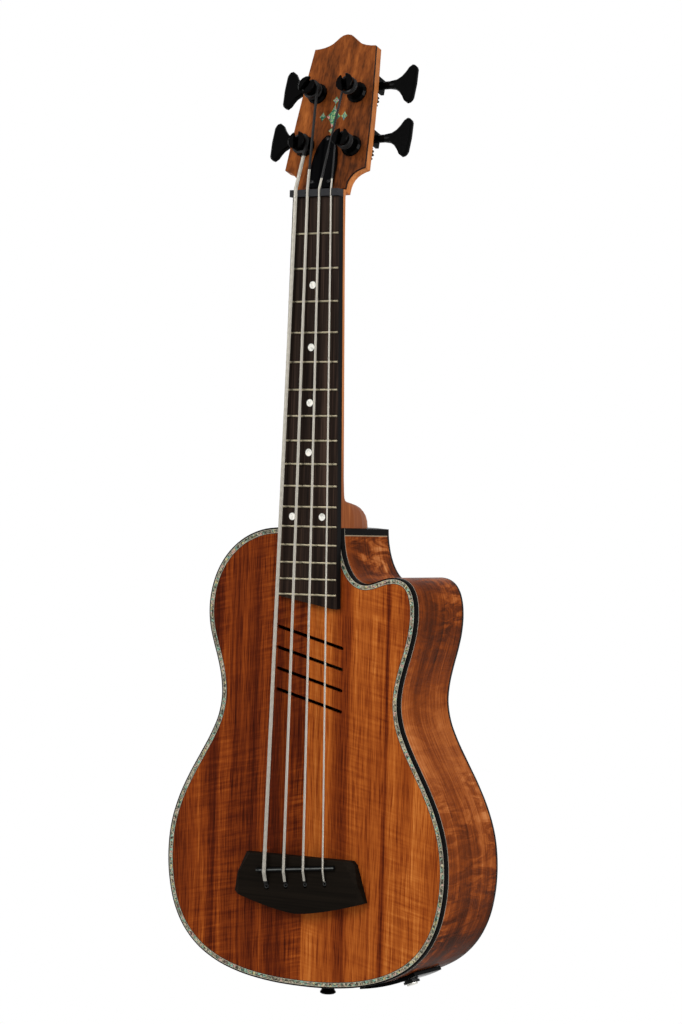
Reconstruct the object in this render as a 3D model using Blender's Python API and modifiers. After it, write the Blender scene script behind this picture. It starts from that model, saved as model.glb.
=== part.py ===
"""Bass ukulele with one cutaway, four wound strings and worm-geared tuning machines.

X points to the treble side, Y from the top into the body, Z up the neck. The origin is on the
centreline, where the nut's front edge stands on the neck's face. The top's face lies in the
same plane, Y = 0. All sizes are in metres.
"""

import math

import bmesh
import bpy
from mathutils import Matrix, Vector

MM = 0.001
GAP = 0.3 * MM  # clearance between pieces that touch

# Scale and fretboard
SCALE_LENGTH = 515 * MM
FRET_COUNT = 16
BOARD_THICKNESS = 5.7 * MM
BOARD_NUT_WIDTH = 45 * MM
BOARD_TAPER = 0.0412  # width gained for each metre away from the nut
BOARD_BASS_TRIM = 2.4 * MM  # by which the bass edge lies nearer the centreline than the treble edge
NUT_OVERHANG = 1.3 * MM  # of the nut past the bass edge
BOARD_END_BASS = 311.9 * MM  # from the nut, along the bass edge
BOARD_END_TREBLE = 321.2 * MM
BOARD_END_FLAT = 5 * MM  # square stretch of the end at the treble edge
FRET_WIDTH = 1.7 * MM
FRET_HEIGHT = 0.9 * MM
FRET_INSET = 0.5 * MM  # from the fretboard's edge to the fret's end
TANG_WIDTH = 0.7 * MM
TANG_DEPTH = 1.8 * MM

# Body outline: reaches from the centreline, and heights above the tail
NECK_PAST_TWELFTH = 0.8 * MM
BODY_LENGTH = 358.4 * MM
LOWER_BOUT = 127.3 * MM
LOWER_BOUT_HEIGHT = 96.9 * MM
WAIST = 82.2 * MM
BASS_WAIST = 79.4 * MM
WAIST_HEIGHT = 223.8 * MM
UPPER_BOUT = 93.3 * MM
UPPER_BOUT_HEIGHT = 291.1 * MM
HORN = 95.7 * MM
HORN_HEIGHT = 293.2 * MM
CREST = 75.5 * MM
CREST_HEIGHT = 321.5 * MM
HOLLOW = 50.0 * MM  # lowest point of the cutaway
HOLLOW_HEIGHT = 315.9 * MM
OUTLINE_STEPS = 8  # straight pieces in a long curve of the outline

# Body depth and shells
BODY_DEPTH = 86.4 * MM
BODY_DEPTH_AT_NECK = 74.2 * MM
TAPER_HEIGHT = 60 * MM  # above the tail, where the back starts to bend towards the neck
TAPER_STEPS = 5
TAPER_CURVE = 1.5  # 1 is a straight taper, and more drops faster near the neck
TOP_THICKNESS = 2.6 * MM
BACK_THICKNESS = 2.5 * MM
SIDE_THICKNESS = 2.5 * MM
BINDING_WIDTH = 1.2 * MM
TOP_BINDING_DEPTH = 5.0 * MM
BACK_BINDING_DEPTH = 3.0 * MM
PURFLING_WIDTH = 3.1 * MM
PURFLING_DEPTH = 1.2 * MM
LINING_WIDTH = 6.0 * MM
LINING_DEPTH = 12.0 * MM
NECK_BLOCK_LENGTH = 38 * MM
NECK_BLOCK_WIDTH = 48 * MM
TAIL_BLOCK_LENGTH = 14 * MM
TAIL_BLOCK_WIDTH = 60 * MM
BRACE_WIDTH = 8 * MM
BRACE_DEPTH = 13 * MM
UPPER_TOP_BRACE_HEIGHT = 290 * MM
LOWER_TOP_BRACE_HEIGHT = 198 * MM
UPPER_BACK_BRACE_HEIGHT = 248 * MM
LOWER_BACK_BRACE_HEIGHT = 100 * MM

# Sound slots
SLOT_COUNT = 4
SLOT_LENGTH = 63.2 * MM
SLOT_WIDTH = 2.9 * MM
SLOT_SPACING = 16.4 * MM  # along the body
SLOT_TILT = math.radians(-14.4)
FIRST_SLOT_HEIGHT = 272.7 * MM
SLOT_OFFSET = 1.9 * MM  # of the slots' middles, to the treble side

# Bridge and saddle
BRIDGE_TOP_WIDTH = 98.5 * MM
BRIDGE_FOOT_WIDTH = 119.5 * MM
BRIDGE_TOP_HEIGHT = 102.0 * MM  # of its upper edge, above the tail
BRIDGE_WING_LENGTH = 31.7 * MM
BRIDGE_LENGTH = 44.5 * MM
BRIDGE_THICKNESS = 9.5 * MM
BRIDGE_WING_THICKNESS = 4.0 * MM
BRIDGE_FLAT_TOP = 42.5 * MM  # half widths of the full-height top, at its upper edge and below
BRIDGE_FLAT_FOOT = 53.0 * MM
BRIDGE_FOOT_CURVE = 1.45  # of the lower edge: 1 is two straight lines, 2 a parabola
BRIDGE_FACET_DROP = 16.3 * MM  # from the upper edge to the corner between the two facets
SADDLE_LENGTH = 71 * MM
SADDLE_THICKNESS = 3.0 * MM
SADDLE_CROWN = 12.4 * MM  # above the top
SADDLE_SLOT_DEPTH = 6.0 * MM
SADDLE_SETBACK = 9.05 * MM  # of the saddle's middle, past the scale length
SADDLE_TILT = math.radians(5.74)
PICKUP_THICKNESS = 1.6 * MM
STRING_HOLE_SETBACK = 14 * MM
STRING_HOLE_MOUTH = 3.2 * MM  # height over the top where a string starts to bend out of its hole
STRING_HOLE_CLEARANCE = 0.4 * MM
BRIDGE_PLATE_THICKNESS = 2.5 * MM
BRIDGE_PLATE_WIDTH = 118 * MM
BRIDGE_PLATE_LENGTH = 50 * MM

# Neck, nut and headstock
NECK_DEPTH_AT_NUT = 13.0 * MM
NECK_DEPTH = 15.0 * MM
NECK_DEPTH_AT_HEEL = 17.5 * MM
HEEL_DEPTH = 71.5 * MM
HEEL_RISE = 21.3 * MM  # of the heel above the body's edge
NECK_FLARE = 32 * MM  # from the nut, where the neck's back has its full depth
NECK_MIDDLE = 120 * MM
NECK_SIDES = 12
NUT_THICKNESS = 5.5 * MM
NUT_HEIGHT = 8.9 * MM
NUT_ACTION = 1.3 * MM  # from the fretboard to a string's underside at the nut
HEAD_TILT = math.radians(15.3)
HEAD_DROP = 2.6 * MM  # of the headstock's face behind the neck's face, at the nut
HEADPLATE_THICKNESS = 2.0 * MM
HEAD_WOOD = 6.6 * MM
HEAD_SHOULDER_WIDTH = 73 * MM
HEAD_SHOULDER = 18.5 * MM  # from the nut to the shoulder's corner
HEAD_TOP_WIDTH = 56 * MM
HEAD_CORNER = 121.6 * MM
HEAD_PEAK = 133 * MM
TRUSS_ROD_WIDTH = 6 * MM
TRUSS_ROD_DEPTH = 7 * MM
TRUSS_ROD_LENGTH = 245 * MM
COVER_WIDTH = 23 * MM
COVER_LENGTH = 46 * MM
COVER_THICKNESS = 2.4 * MM
POCKET_WIDTH = 9 * MM
POCKET_LENGTH = 24 * MM
POCKET_DEPTH = 5.5 * MM  # Tuning machines
FERRULE_RADIUS = 8.7 * MM
FERRULE_THICKNESS = 2.8 * MM
BARREL_RADIUS = 4.9 * MM
POST_RADIUS = 5.0 * MM
POST_SHAFT_RADIUS = 3.0 * MM
POST_HEAD_RADIUS = 7.5 * MM
POST_HEAD_THICKNESS = 3.0 * MM
POST_SLOT_WIDTH = 4.4 * MM
POST_SLOT_DEPTH = 5.0 * MM
MACHINE_PLATE = 1.6 * MM
GEAR_TEETH = 18
GEAR_TIP_RADIUS = 9.6 * MM
GEAR_ROOT_RADIUS = 8.1 * MM
GEAR_WIDTH = 5.0 * MM
WORM_CORE_RADIUS = 2.4 * MM
THREAD_RADIUS = 0.8 * MM  # of the worm's rounded thread
THREAD_RING = 3.1 * MM  # from the worm's axis to the thread's middle
THREAD_TURNS = 2.5
WORM_OFFSET = 12.3 * MM  # between the post's axis and the worm's
WORM_DEPTH = 16.4 * MM  # of the worm's axis behind the headstock's face
BEARING_START = 8.6 * MM  # from the post's axis to each bearing block
BEARING_WIDTH = 2.8 * MM
BEARING_SIZE = 12 * MM
KEY_SHAFT_RADIUS = 2.0 * MM
KEY_STEM_RADIUS = 3.2 * MM
KEY_STEM_LENGTH = 8.5 * MM
KEY_LENGTH = 42.6 * MM  # from the post's axis to the key's outer edge
KEY_WIDTH = 32.5 * MM
KEY_TIP_RADIUS = 4.2 * MM
KEY_THICKNESS = 5.0 * MM

# Strings, bass to treble: diameter, which side its machine is on, the machine's place on the
# headstock, its post's height, where the string meets the post, the turns round it, and the
# degrees that the post's slot is turned. A negative count winds down towards the headstock.
NUT_SPACING = 10.62 * MM
SADDLE_SPACING = 17.7 * MM
STRINGS = {
    "E": (3.2 * MM, -1, 21.6 * MM, 38.0 * MM, 15.0 * MM, 8.8 * MM, -0.9, 99),
    "A": (2.4 * MM, -1, 18.2 * MM, 82.7 * MM, 19.4 * MM, 12.3 * MM, -2.4, 55),
    "D": (2.0 * MM, 1, 18.2 * MM, 81.8 * MM, 22.0 * MM, 11.4 * MM, 2.3, 107),
    "G": (1.5 * MM, 1, 21.6 * MM, 36.4 * MM, 20.0 * MM, 15.3 * MM, -3.4, 85),
}
TURN_GAP = 0.6 * MM  # between turns on a post
TURN_POINTS = 24
BALL_LENGTH = 5 * MM  # of the knot behind the bridge plate
BALL_SWELL = 1.7  # its width over the string's

# Strap button, jack and pickup lead
BUTTON_LENGTH = 11.1 * MM
BUTTON_RADIUS = 6.5 * MM
BUTTON_WAIST_RADIUS = 4.3 * MM
JACK_REACH = 74.3 * MM  # of the jack from the centreline
JACK_PLATE_REACH = (40 * MM, 91.5 * MM)
JACK_PLATE_WIDTH = 42 * MM
JACK_PLATE_THICKNESS = 3.0 * MM
JACK_BARREL_RADIUS = 5.5 * MM
JACK_BODY_RADIUS = 8 * MM
JACK_BODY_LENGTH = 27 * MM
JACK_SETBACK = 1.5 * MM  # of the body behind the side's curved inner face
JACK_FLANGE_RADIUS = 6.5 * MM
JACK_RING_RADIUS = 4.5 * MM
JACK_BORE_RADIUS = 3.5 * MM
LEAD_RADIUS = 1.1 * MM

JOINT_Z = -(SCALE_LENGTH / 2 + NECK_PAST_TWELFTH)
TAIL_Z = JOINT_Z - BODY_LENGTH
BODY_MIDDLE = BODY_DEPTH / 2
BOARD_TOP = GAP + BOARD_THICKNESS  # height of the fretboard's face over the plane Y = 0
BRIDGE_TOP = GAP + BRIDGE_THICKNESS
HEAD_THICKNESS = HEADPLATE_THICKNESS + GAP + HEAD_WOOD
SADDLE_Z = -(SCALE_LENGTH + SADDLE_SETBACK)
WORM_PITCH = 2 * math.pi * (WORM_OFFSET - THREAD_RING) / GEAR_TEETH

# A frame maps outlines drawn in its X and Y, and depths along its -Z, to the part.
FACE = Matrix(((1, 0, 0, 0), (0, 0, -1, 0), (0, 1, 0, 0), (0, 0, 0, 1)))
ACROSS = Matrix(((0, 0, 1, 0), (1, 0, 0, 0), (0, 1, 0, 0), (0, 0, 0, 1)))
HEAD = Matrix.Translation((0, HEAD_DROP, NUT_THICKNESS)) @ Matrix(
    (
        (1, 0, 0, 0),
        (0, math.sin(HEAD_TILT), -math.cos(HEAD_TILT), 0),
        (0, math.cos(HEAD_TILT), math.sin(HEAD_TILT), 0),
        (0, 0, 0, 1),
    )
)
ALONG_X = Matrix.Rotation(math.radians(90), 4, "Y")  # turns a Z axis to +X


def clear_scene():
    for obj in list(bpy.data.objects):
        bpy.data.objects.remove(obj, do_unlink=True)


def make_collection(name):
    collection = bpy.data.collections.new(name)
    bpy.context.scene.collection.children.link(collection)
    return collection


clear_scene()
PARTS = make_collection("bass_ukulele")
CUTTERS = make_collection("cutters")


def finish(name, colour, roughness, metallic=0.0):
    material = bpy.data.materials.new(name)
    material.use_nodes = True
    shader = material.node_tree.nodes["Principled BSDF"]
    shader.inputs["Base Color"].default_value = (*colour, 1)
    shader.inputs["Roughness"].default_value = roughness
    shader.inputs["Metallic"].default_value = metallic
    return material


KOA = (0.30, 0.10, 0.030)
MAHOGANY = (0.42, 0.17, 0.065)
SPRUCE = (0.62, 0.45, 0.26)
BLACK = (0.012, 0.012, 0.012)


def board_half_width(z):
    """Half the fretboard's width at height z, which is below the nut."""
    return (BOARD_NUT_WIDTH - BOARD_TAPER * z) / 2


def bezier(start, leave, arrive, end, steps):
    """Points along one cubic curve, without its last one."""
    points = []
    for i in range(steps):
        t = i / steps
        s = 1 - t
        weights = (s**3, 3 * s * s * t, 3 * s * t * t, t**3)
        corners = (start, leave, arrive, end)
        points.append(tuple(sum(w * c[k] for w, c in zip(weights, corners)) for k in (0, 1)))
    return points


def board_reach(z, side):
    """The fretboard's edge at height z, on the treble side for side 1 and the bass side for -1."""
    return side * (board_half_width(z) - (BOARD_BASS_TRIM if side < 0 else 0))


def lower_bout_curve(steps):
    """The outline from the tail's middle to the widest place, on the treble side."""
    tail = (0, TAIL_Z)
    widest = (LOWER_BOUT, TAIL_Z + LOWER_BOUT_HEIGHT)
    leave = (0.72 * LOWER_BOUT, TAIL_Z)
    arrive = (LOWER_BOUT, widest[1] - 0.69 * LOWER_BOUT_HEIGHT)
    return bezier(tail, leave, arrive, widest, steps)


def rise(low, high, first, second, steps):
    """A curve between two places where the outline runs up the body; handles as shares."""
    height = high[1] - low[1]
    leave = (low[0], low[1] + first * height)
    arrive = (high[0], high[1] - second * height)
    return bezier(low, leave, arrive, high, steps)


def outline_points():
    """The body's outline seen from the front, anticlockwise from the tail's middle."""
    up = Vector((0, TAIL_Z))
    widest = (LOWER_BOUT, up[1] + LOWER_BOUT_HEIGHT)
    waist = (WAIST, up[1] + WAIST_HEIGHT)
    horn = (HORN, up[1] + HORN_HEIGHT)
    crest = (CREST, up[1] + CREST_HEIGHT)
    hollow = (HOLLOW, up[1] + HOLLOW_HEIGHT)
    shoulder = (UPPER_BOUT, up[1] + UPPER_BOUT_HEIGHT)
    corner = (board_half_width(JOINT_Z), JOINT_Z)
    steps = OUTLINE_STEPS

    treble = lower_bout_curve(steps) + rise(widest, waist, 0.46, 0.29, steps - 1)
    treble += rise(waist, horn, 0.35, 0.38, steps - 3)
    leave = (horn[0], horn[1] + 0.85 * (crest[1] - horn[1]))
    arrive = (crest[0] + 0.46 * (horn[0] - crest[0]), crest[1])
    treble += bezier(horn, leave, arrive, crest, steps - 2)
    span = crest[0] - hollow[0]
    leave = (crest[0] - 0.4 * span, crest[1])
    arrive = (hollow[0] + 0.36 * span, hollow[1])
    treble += bezier(crest, leave, arrive, hollow, steps - 4)
    leave = (hollow[0] - 0.6 * (hollow[0] - corner[0]), hollow[1])
    arrive = (corner[0], corner[1] - 0.57 * (corner[1] - hollow[1]))
    treble += bezier(hollow, leave, arrive, corner, steps - 2) + [corner]

    waist = (BASS_WAIST, waist[1])
    corner = (-board_reach(JOINT_Z, -1), JOINT_Z)
    bass = lower_bout_curve(steps)[1:] + rise(widest, waist, 0.46, 0.29, steps - 1)
    bass += rise(waist, shoulder, 0.43, 0.36, steps - 3)
    leave = (shoulder[0], shoulder[1] + 0.55 * (corner[1] - shoulder[1]))
    arrive = (corner[0] + 0.62 * (shoulder[0] - corner[0]), corner[1])
    bass += bezier(shoulder, leave, arrive, corner, steps - 2) + [corner]
    return treble + [(-x, z) for x, z in reversed(bass)]


def offset(points, inset, closed=True):
    """The points moved inset to the left of their direction, with mitred corners."""
    moved = []
    count = len(points)
    for i, point in enumerate(points):
        here = Vector(point)
        before = Vector(points[i - 1]) if closed or i else None
        after = Vector(points[(i + 1) % count]) if closed or i < count - 1 else None
        runs = [b - a for a, b in ((before, here), (here, after)) if a is not None and b is not None]
        normals = [Vector((-run[1], run[0])).normalized() for run in runs]
        mitre = normals[0] + normals[-1]
        moved.append(tuple(here + mitre * inset / (1 + normals[0].dot(normals[-1]))))
    return moved


OUTLINE = outline_points()


def outline(inset):
    return offset(OUTLINE, inset)


def back_depth(z):
    """Depth of the back's face, straight between the stations of its bend."""
    start = TAIL_Z + TAPER_HEIGHT
    step = (JOINT_Z - start) / TAPER_STEPS
    drop = BODY_DEPTH - BODY_DEPTH_AT_NECK
    place = max(0.0, (z - start) / step)
    low = min(int(place), TAPER_STEPS - 1)
    levels = [drop * (i / TAPER_STEPS) ** TAPER_CURVE for i in (low, low + 1)]
    return BODY_DEPTH - levels[0] - (levels[1] - levels[0]) * (place - low)


def back_stations(low, high):
    """Heights from low to high where the back's section may bend."""
    start = TAIL_Z + TAPER_HEIGHT
    bends = [start + i * (JOINT_Z - start) / TAPER_STEPS for i in range(TAPER_STEPS)]
    return [low] + [z for z in bends if low < z < high] + [high]


def evaluated_mesh(obj):
    graph = bpy.context.evaluated_depsgraph_get()
    return bpy.data.meshes.new_from_object(obj.evaluated_get(graph))


def as_mesh(obj):
    """Replaces a curve by its mesh, with the caps welded on."""
    mesh = evaluated_mesh(obj)
    solid = bmesh.new()
    solid.from_mesh(mesh)
    bmesh.ops.remove_doubles(solid, verts=solid.verts, dist=0.001 * MM)
    bmesh.ops.recalc_face_normals(solid, faces=solid.faces)
    solid.to_mesh(mesh)
    solid.free()
    result = bpy.data.objects.new(obj.name, mesh)
    result.matrix_world = obj.matrix_world
    for collection in obj.users_collection:
        collection.objects.link(result)
    name = obj.name
    bpy.data.objects.remove(obj, do_unlink=True)
    result.name = name
    return result


def place(name, data, matrix=None, collection=None):
    obj = bpy.data.objects.new(name, data)
    obj.matrix_world = matrix or Matrix.Identity(4)
    (collection or CUTTERS).objects.link(obj)
    bpy.context.view_layer.update()
    return obj


def slab(name, frame, loops, front, back):
    """A flat outline, with any holes, from depth front to depth back behind the frame's plane."""
    curve = bpy.data.curves.new(name, "CURVE")
    curve.dimensions = "2D"
    curve.fill_mode = "BOTH"
    curve.extrude = (back - front) / 2
    for loop in loops:
        spline = curve.splines.new("POLY")
        spline.points.add(len(loop) - 1)
        for point, (a, b) in zip(spline.points, loop):
            point.co = (a, b, 0, 1)
        spline.use_cyclic_u = True
    middle = Matrix.Translation((0, 0, -(front + back) / 2))
    return as_mesh(place(name, curve, frame @ middle))


def box(name, frame, low, high):
    """A box between two corners given in the frame's own axes."""
    mesh = bpy.data.meshes.new(name)
    solid = bmesh.new()
    size = [h - l for l, h in zip(low, high)]
    middle = [(h + l) / 2 for l, h in zip(low, high)]
    shape = Matrix.Translation(middle) @ Matrix.Diagonal((*size, 1))
    bmesh.ops.create_cube(solid, size=1, matrix=shape)
    solid.to_mesh(mesh)
    solid.free()
    return place(name, mesh, frame)


def rod(name, frame, radius, low, high, sides=16):
    """A cylinder along the frame's Z, from low to high."""
    mesh = bpy.data.meshes.new(name)
    solid = bmesh.new()
    bmesh.ops.create_cone(
        solid,
        cap_ends=True,
        segments=sides,
        radius1=radius,
        radius2=radius,
        depth=high - low,
        matrix=Matrix.Translation((0, 0, (low + high) / 2)),
    )
    solid.to_mesh(mesh)
    solid.free()
    return place(name, mesh, frame)


def turned(name, frame, profile, steps=14):
    """A profile of (radius, height), top to bottom on its outer side, turned about Z."""
    mesh = bpy.data.meshes.new(name)
    points = [(radius, 0, height) for radius, height in profile]
    edges = [(i, i + 1) for i in range(len(points) - 1)]
    mesh.from_pydata(points, edges, [])
    obj = place(name, mesh, frame)
    screw = obj.modifiers.new("turn", "SCREW")
    screw.steps = steps
    screw.render_steps = steps
    screw.use_merge_vertices = True
    screw.merge_threshold = 0.00001
    return obj


def tube(name, frame, points, radius, resolution=1, widths=None):
    """A round wire along the points; widths scale its radius at each point."""
    curve = bpy.data.curves.new(name, "CURVE")
    curve.dimensions = "3D"
    curve.bevel_depth = radius
    curve.bevel_resolution = resolution
    curve.use_fill_caps = True
    spline = curve.splines.new("POLY")
    spline.points.add(len(points) - 1)
    for i, (point, where) in enumerate(zip(spline.points, points)):
        point.co = (*where, 1)
        point.radius = widths[i] if widths else 1
    return place(name, curve, frame)


def loft(name, frame, sections):
    """A solid through sections of equally many points, closed flat at both ends."""
    solid = bmesh.new()
    rings = [[solid.verts.new(point) for point in section] for section in sections]
    for low, high in zip(rings, rings[1:]):
        for i in range(len(low)):
            j = (i + 1) % len(low)
            solid.faces.new((low[i], low[j], high[j], high[i]))
    solid.faces.new(rings[0])
    solid.faces.new(rings[-1])
    bmesh.ops.recalc_face_normals(solid, faces=solid.faces)
    mesh = bpy.data.meshes.new(name)
    solid.to_mesh(mesh)
    solid.free()
    return place(name, mesh, frame)


def combine(target, tool, operation, solver="EXACT"):
    modifier = target.modifiers.new(operation.lower(), "BOOLEAN")
    modifier.operation = operation
    modifier.solver = solver
    modifier.object = tool
    tool.hide_render = True
    tool.display_type = "WIRE"


def cut(target, *tools, solver="EXACT"):
    for tool in tools:
        combine(target, tool, "DIFFERENCE", solver)


def join(target, *tools):
    for tool in tools:
        combine(target, tool, "UNION")


def keep_within(target, tool):
    combine(target, tool, "INTERSECT")


def soften(obj, width, segments=1, angle=30):
    bevel = obj.modifiers.new("edges", "BEVEL")
    bevel.width = width
    bevel.segments = segments
    bevel.limit_method = "ANGLE"
    bevel.angle_limit = math.radians(angle)


def keep(obj, material, smooth=False):
    """Moves a finished sub-part from the cutters to the object, with its material."""
    CUTTERS.objects.unlink(obj)
    PARTS.objects.link(obj)
    obj.data.materials.append(material)
    if smooth and obj.type == "MESH":
        obj.data.shade_smooth()
        obj.data.set_sharp_from_angle(angle=math.radians(35))
    return obj


def behind_back(name, low, high, near, far):
    """A bar across the body that follows the back, from near to far in front of its face."""
    heights = back_stations(low, high)
    outer = [(back_depth(z) - near, z) for z in heights]
    inner = [(back_depth(z) - far, z) for z in reversed(heights)]
    reach = 2 * LOWER_BOUT
    return slab(name, ACROSS, [outer + inner], -reach / 2 - 0.01, reach / 2 + 0.01)


def below_tail():
    return TAIL_Z - 10 * MM


def above_joint():
    return JOINT_Z + 10 * MM


def truss_channel(name):
    """The truss rod's channel, for each piece that a rod of any length runs through."""
    half = TRUSS_ROD_WIDTH / 2 + GAP
    return box(
        f"{name}_truss_rod_channel",
        FACE,
        (-half, -TRUSS_ROD_LENGTH - GAP, -TRUSS_ROD_DEPTH - 2 * GAP),
        (half, NUT_THICKNESS + 6 * MM, 20 * MM),
    )


def build_shells():
    edge = BINDING_WIDTH + GAP
    wood_edge = edge + PURFLING_WIDTH + GAP
    outside = -5 * MM

    top = slab("top_plate", FACE, [outline(edge)], 0, TOP_THICKNESS)
    channel = slab(
        "purfling_channel", FACE, [outline(outside), outline(wood_edge)], -1 * MM, PURFLING_DEPTH + GAP
    )
    holes = [*sound_slots(), *string_holes("top"), lead_hole("top_lead_hole")]
    cut(top, channel, *holes, truss_channel("top"), solver="MANIFOLD")
    keep(top, finish("koa_top", KOA, 0.3))

    purfling = slab(
        "top_purfling", FACE, [outline(edge), outline(edge + PURFLING_WIDTH)], 0, PURFLING_DEPTH
    )
    cut(purfling, truss_channel("purfling"))
    keep(purfling, finish("abalone", (0.5, 0.58, 0.5), 0.2, 0.3))

    rim = [outline(0), outline(BINDING_WIDTH)]
    binding = slab("top_binding", FACE, rim, 0, TOP_BINDING_DEPTH)
    cut(binding, truss_channel("binding"))
    keep(binding, finish("top_binding", BLACK, 0.35))

    wall = [outline(0), outline(SIDE_THICKNESS)]
    sides = slab("sides", FACE, wall, TOP_BINDING_DEPTH + GAP, BODY_DEPTH + GAP)
    trim = BACK_BINDING_DEPTH + GAP
    keep_within(sides, behind_back("sides_reach", below_tail(), above_joint(), trim, BODY_DEPTH))
    cut(sides, jack_hole("side_jack_hole"), truss_channel("sides"))
    keep(sides, finish("koa_sides", KOA, 0.32))

    back = slab("back_plate", FACE, [outline(edge)], BODY_DEPTH / 2, BODY_DEPTH + GAP)
    keep_within(back, behind_back("back_reach", below_tail(), above_joint(), 0, BACK_THICKNESS))
    keep(back, finish("koa_back", KOA, 0.32))

    back_binding = slab("back_binding", FACE, rim, BODY_DEPTH / 2, BODY_DEPTH + GAP)
    reach = behind_back("back_binding_reach", below_tail(), above_joint(), 0, BACK_BINDING_DEPTH)
    keep_within(back_binding, reach)
    keep(back_binding, finish("back_binding", BLACK, 0.35))


def sound_slots():
    slots = []
    straight = SLOT_LENGTH / 2 - SLOT_WIDTH / 2
    for i in range(SLOT_COUNT):
        arc = [
            (straight + SLOT_WIDTH / 2 * math.cos(a), SLOT_WIDTH / 2 * math.sin(a))
            for a in (math.radians(angle) for angle in range(-90, 91, 45))
        ]
        loop = arc + [(-x, -z) for x, z in arc]
        height = TAIL_Z + FIRST_SLOT_HEIGHT - i * SLOT_SPACING
        turn = Matrix.Translation((SLOT_OFFSET, height, 0)) @ Matrix.Rotation(SLOT_TILT, 4, "Z")
        slots.append(slab(f"slot_{i}", FACE @ turn, [loop], -1 * MM, TOP_THICKNESS + 1 * MM))
    return slots


def build_frame():
    """Blocks, linings and braces inside the body."""
    behind_top = TOP_THICKNESS + GAP
    before_back = BACK_THICKNESS + GAP
    wall = SIDE_THICKNESS + GAP
    block_end = JOINT_Z - wall
    block_start = block_end - NECK_BLOCK_LENGTH
    spruce = finish("spruce", SPRUCE, 0.6)
    mahogany = finish("block_mahogany", MAHOGANY, 0.55)

    half = NECK_BLOCK_WIDTH / 2
    block = behind_back("neck_block", block_start, block_end, before_back, BODY_DEPTH)
    middle = box(
        "neck_block_reach",
        FACE,
        (-half, block_start - GAP, -BODY_DEPTH),
        (half, block_end + GAP, -behind_top),
    )
    keep_within(block, middle)
    cut(block, truss_channel("block"))
    keep(block, mahogany)

    ring = [outline(wall), outline(wall + LINING_WIDTH)]
    clear = (half + GAP, block_end + 20 * MM)
    lining = slab("top_lining", FACE, ring, behind_top, behind_top + LINING_DEPTH)
    lining_gap = box(
        "lining_gap",
        FACE,
        (-clear[0], block_start - GAP, -2 * BODY_DEPTH),
        (clear[0], clear[1], BODY_DEPTH),
    )
    cut(lining, lining_gap)
    keep(lining, spruce)

    lining = slab("back_lining", FACE, ring, BODY_DEPTH / 2, BODY_DEPTH + GAP)
    far = before_back + LINING_DEPTH
    keep_within(lining, behind_back("lining_reach", below_tail(), above_joint(), before_back, far))
    cut(lining, lining_gap)
    keep(lining, spruce)

    inside = TAIL_Z + wall + TAIL_BLOCK_LENGTH
    half = TAIL_BLOCK_WIDTH / 2
    block = slab(
        "tail_block",
        FACE,
        [outline(wall)],
        behind_top + LINING_DEPTH + GAP,
        BODY_DEPTH - before_back - LINING_DEPTH - GAP,
    )
    keep_within(
        block, box("tail_reach", FACE, (-half, below_tail(), -BODY_DEPTH), (half, inside, 0))
    )
    keep(block, mahogany)

    within = outline(wall + LINING_WIDTH + GAP)
    heights = (("upper_top_brace", UPPER_TOP_BRACE_HEIGHT), ("lower_top_brace", LOWER_TOP_BRACE_HEIGHT))
    for name, height in heights:
        brace = slab(name, FACE, [within], behind_top, behind_top + BRACE_DEPTH)
        low = TAIL_Z + height - BRACE_WIDTH / 2
        reach = box(
            f"{name}_reach",
            FACE,
            (-LOWER_BOUT, low, -BODY_DEPTH),
            (LOWER_BOUT, low + BRACE_WIDTH, 0),
        )
        keep_within(brace, reach)
        keep(brace, spruce)

    heights = (("upper_back_brace", UPPER_BACK_BRACE_HEIGHT), ("lower_back_brace", LOWER_BACK_BRACE_HEIGHT))
    for name, height in heights:
        low = TAIL_Z + height - BRACE_WIDTH / 2
        brace = behind_back(name, low, low + BRACE_WIDTH, before_back, before_back + BRACE_DEPTH)
        keep_within(brace, slab(f"{name}_reach", FACE, [within], BODY_DEPTH / 4, BODY_DEPTH + GAP))
        keep(brace, spruce)


def saddle_frame():
    """X along the saddle, Y up the body, Z out of the top, from the saddle's foot."""
    turn = Matrix.Rotation(SADDLE_TILT, 4, "Z")
    return FACE @ Matrix.Translation((0, SADDLE_Z, 0)) @ turn


def saddle_z(x):
    return SADDLE_Z + x * math.tan(SADDLE_TILT)


def string_height(name):
    """Height of the string's middle over the top, at the saddle."""
    return SADDLE_CROWN + GAP + STRINGS[name][0] / 2


def string_x(name, spacing):
    return (list(STRINGS).index(name) - (len(STRINGS) - 1) / 2) * spacing


def hole_z(name):
    return saddle_z(string_x(name, SADDLE_SPACING)) - STRING_HOLE_SETBACK


def bridge_end(name):
    """A string's points from its ball behind the bridge plate to the back edge of the saddle."""
    radius = STRINGS[name][0] / 2
    x = string_x(name, SADDLE_SPACING)
    z = hole_z(name)
    bend = STRING_HOLE_SETBACK / 3
    top = STRING_HOLE_MOUTH
    seat = TOP_THICKNESS + GAP + BRIDGE_PLATE_THICKNESS + GAP
    points = [(x, seat, z), (x, TOP_THICKNESS, z), (x, -top, z)]
    edge = saddle_z(x) - SADDLE_THICKNESS / 2 - GAP
    crest = string_height(name)
    slope = (crest - (top + bend)) / (edge - z - bend)
    for i in range(1, 4):
        turn = math.radians(90) * i / 3
        along = bend * (1 - math.cos(turn))
        points.append((x, -(top + bend * math.sin(turn) + slope * along), z + along))
    points.append((x, -crest, edge))
    assert radius < bend
    return points


def string_holes(piece):
    """Cutters that follow the strings through the bridge, the top and the bridge plate."""
    holes = []
    for name, (diameter, *_) in STRINGS.items():
        points = bridge_end(name)
        start = (points[0][0], points[0][1] + GAP, points[0][2])
        radius = diameter / 2 + STRING_HOLE_CLEARANCE
        path = tube(f"{piece}_hole_{name}", None, [start, *points[1:-1]], radius)
        holes.append(as_mesh(path))
    return holes


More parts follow.
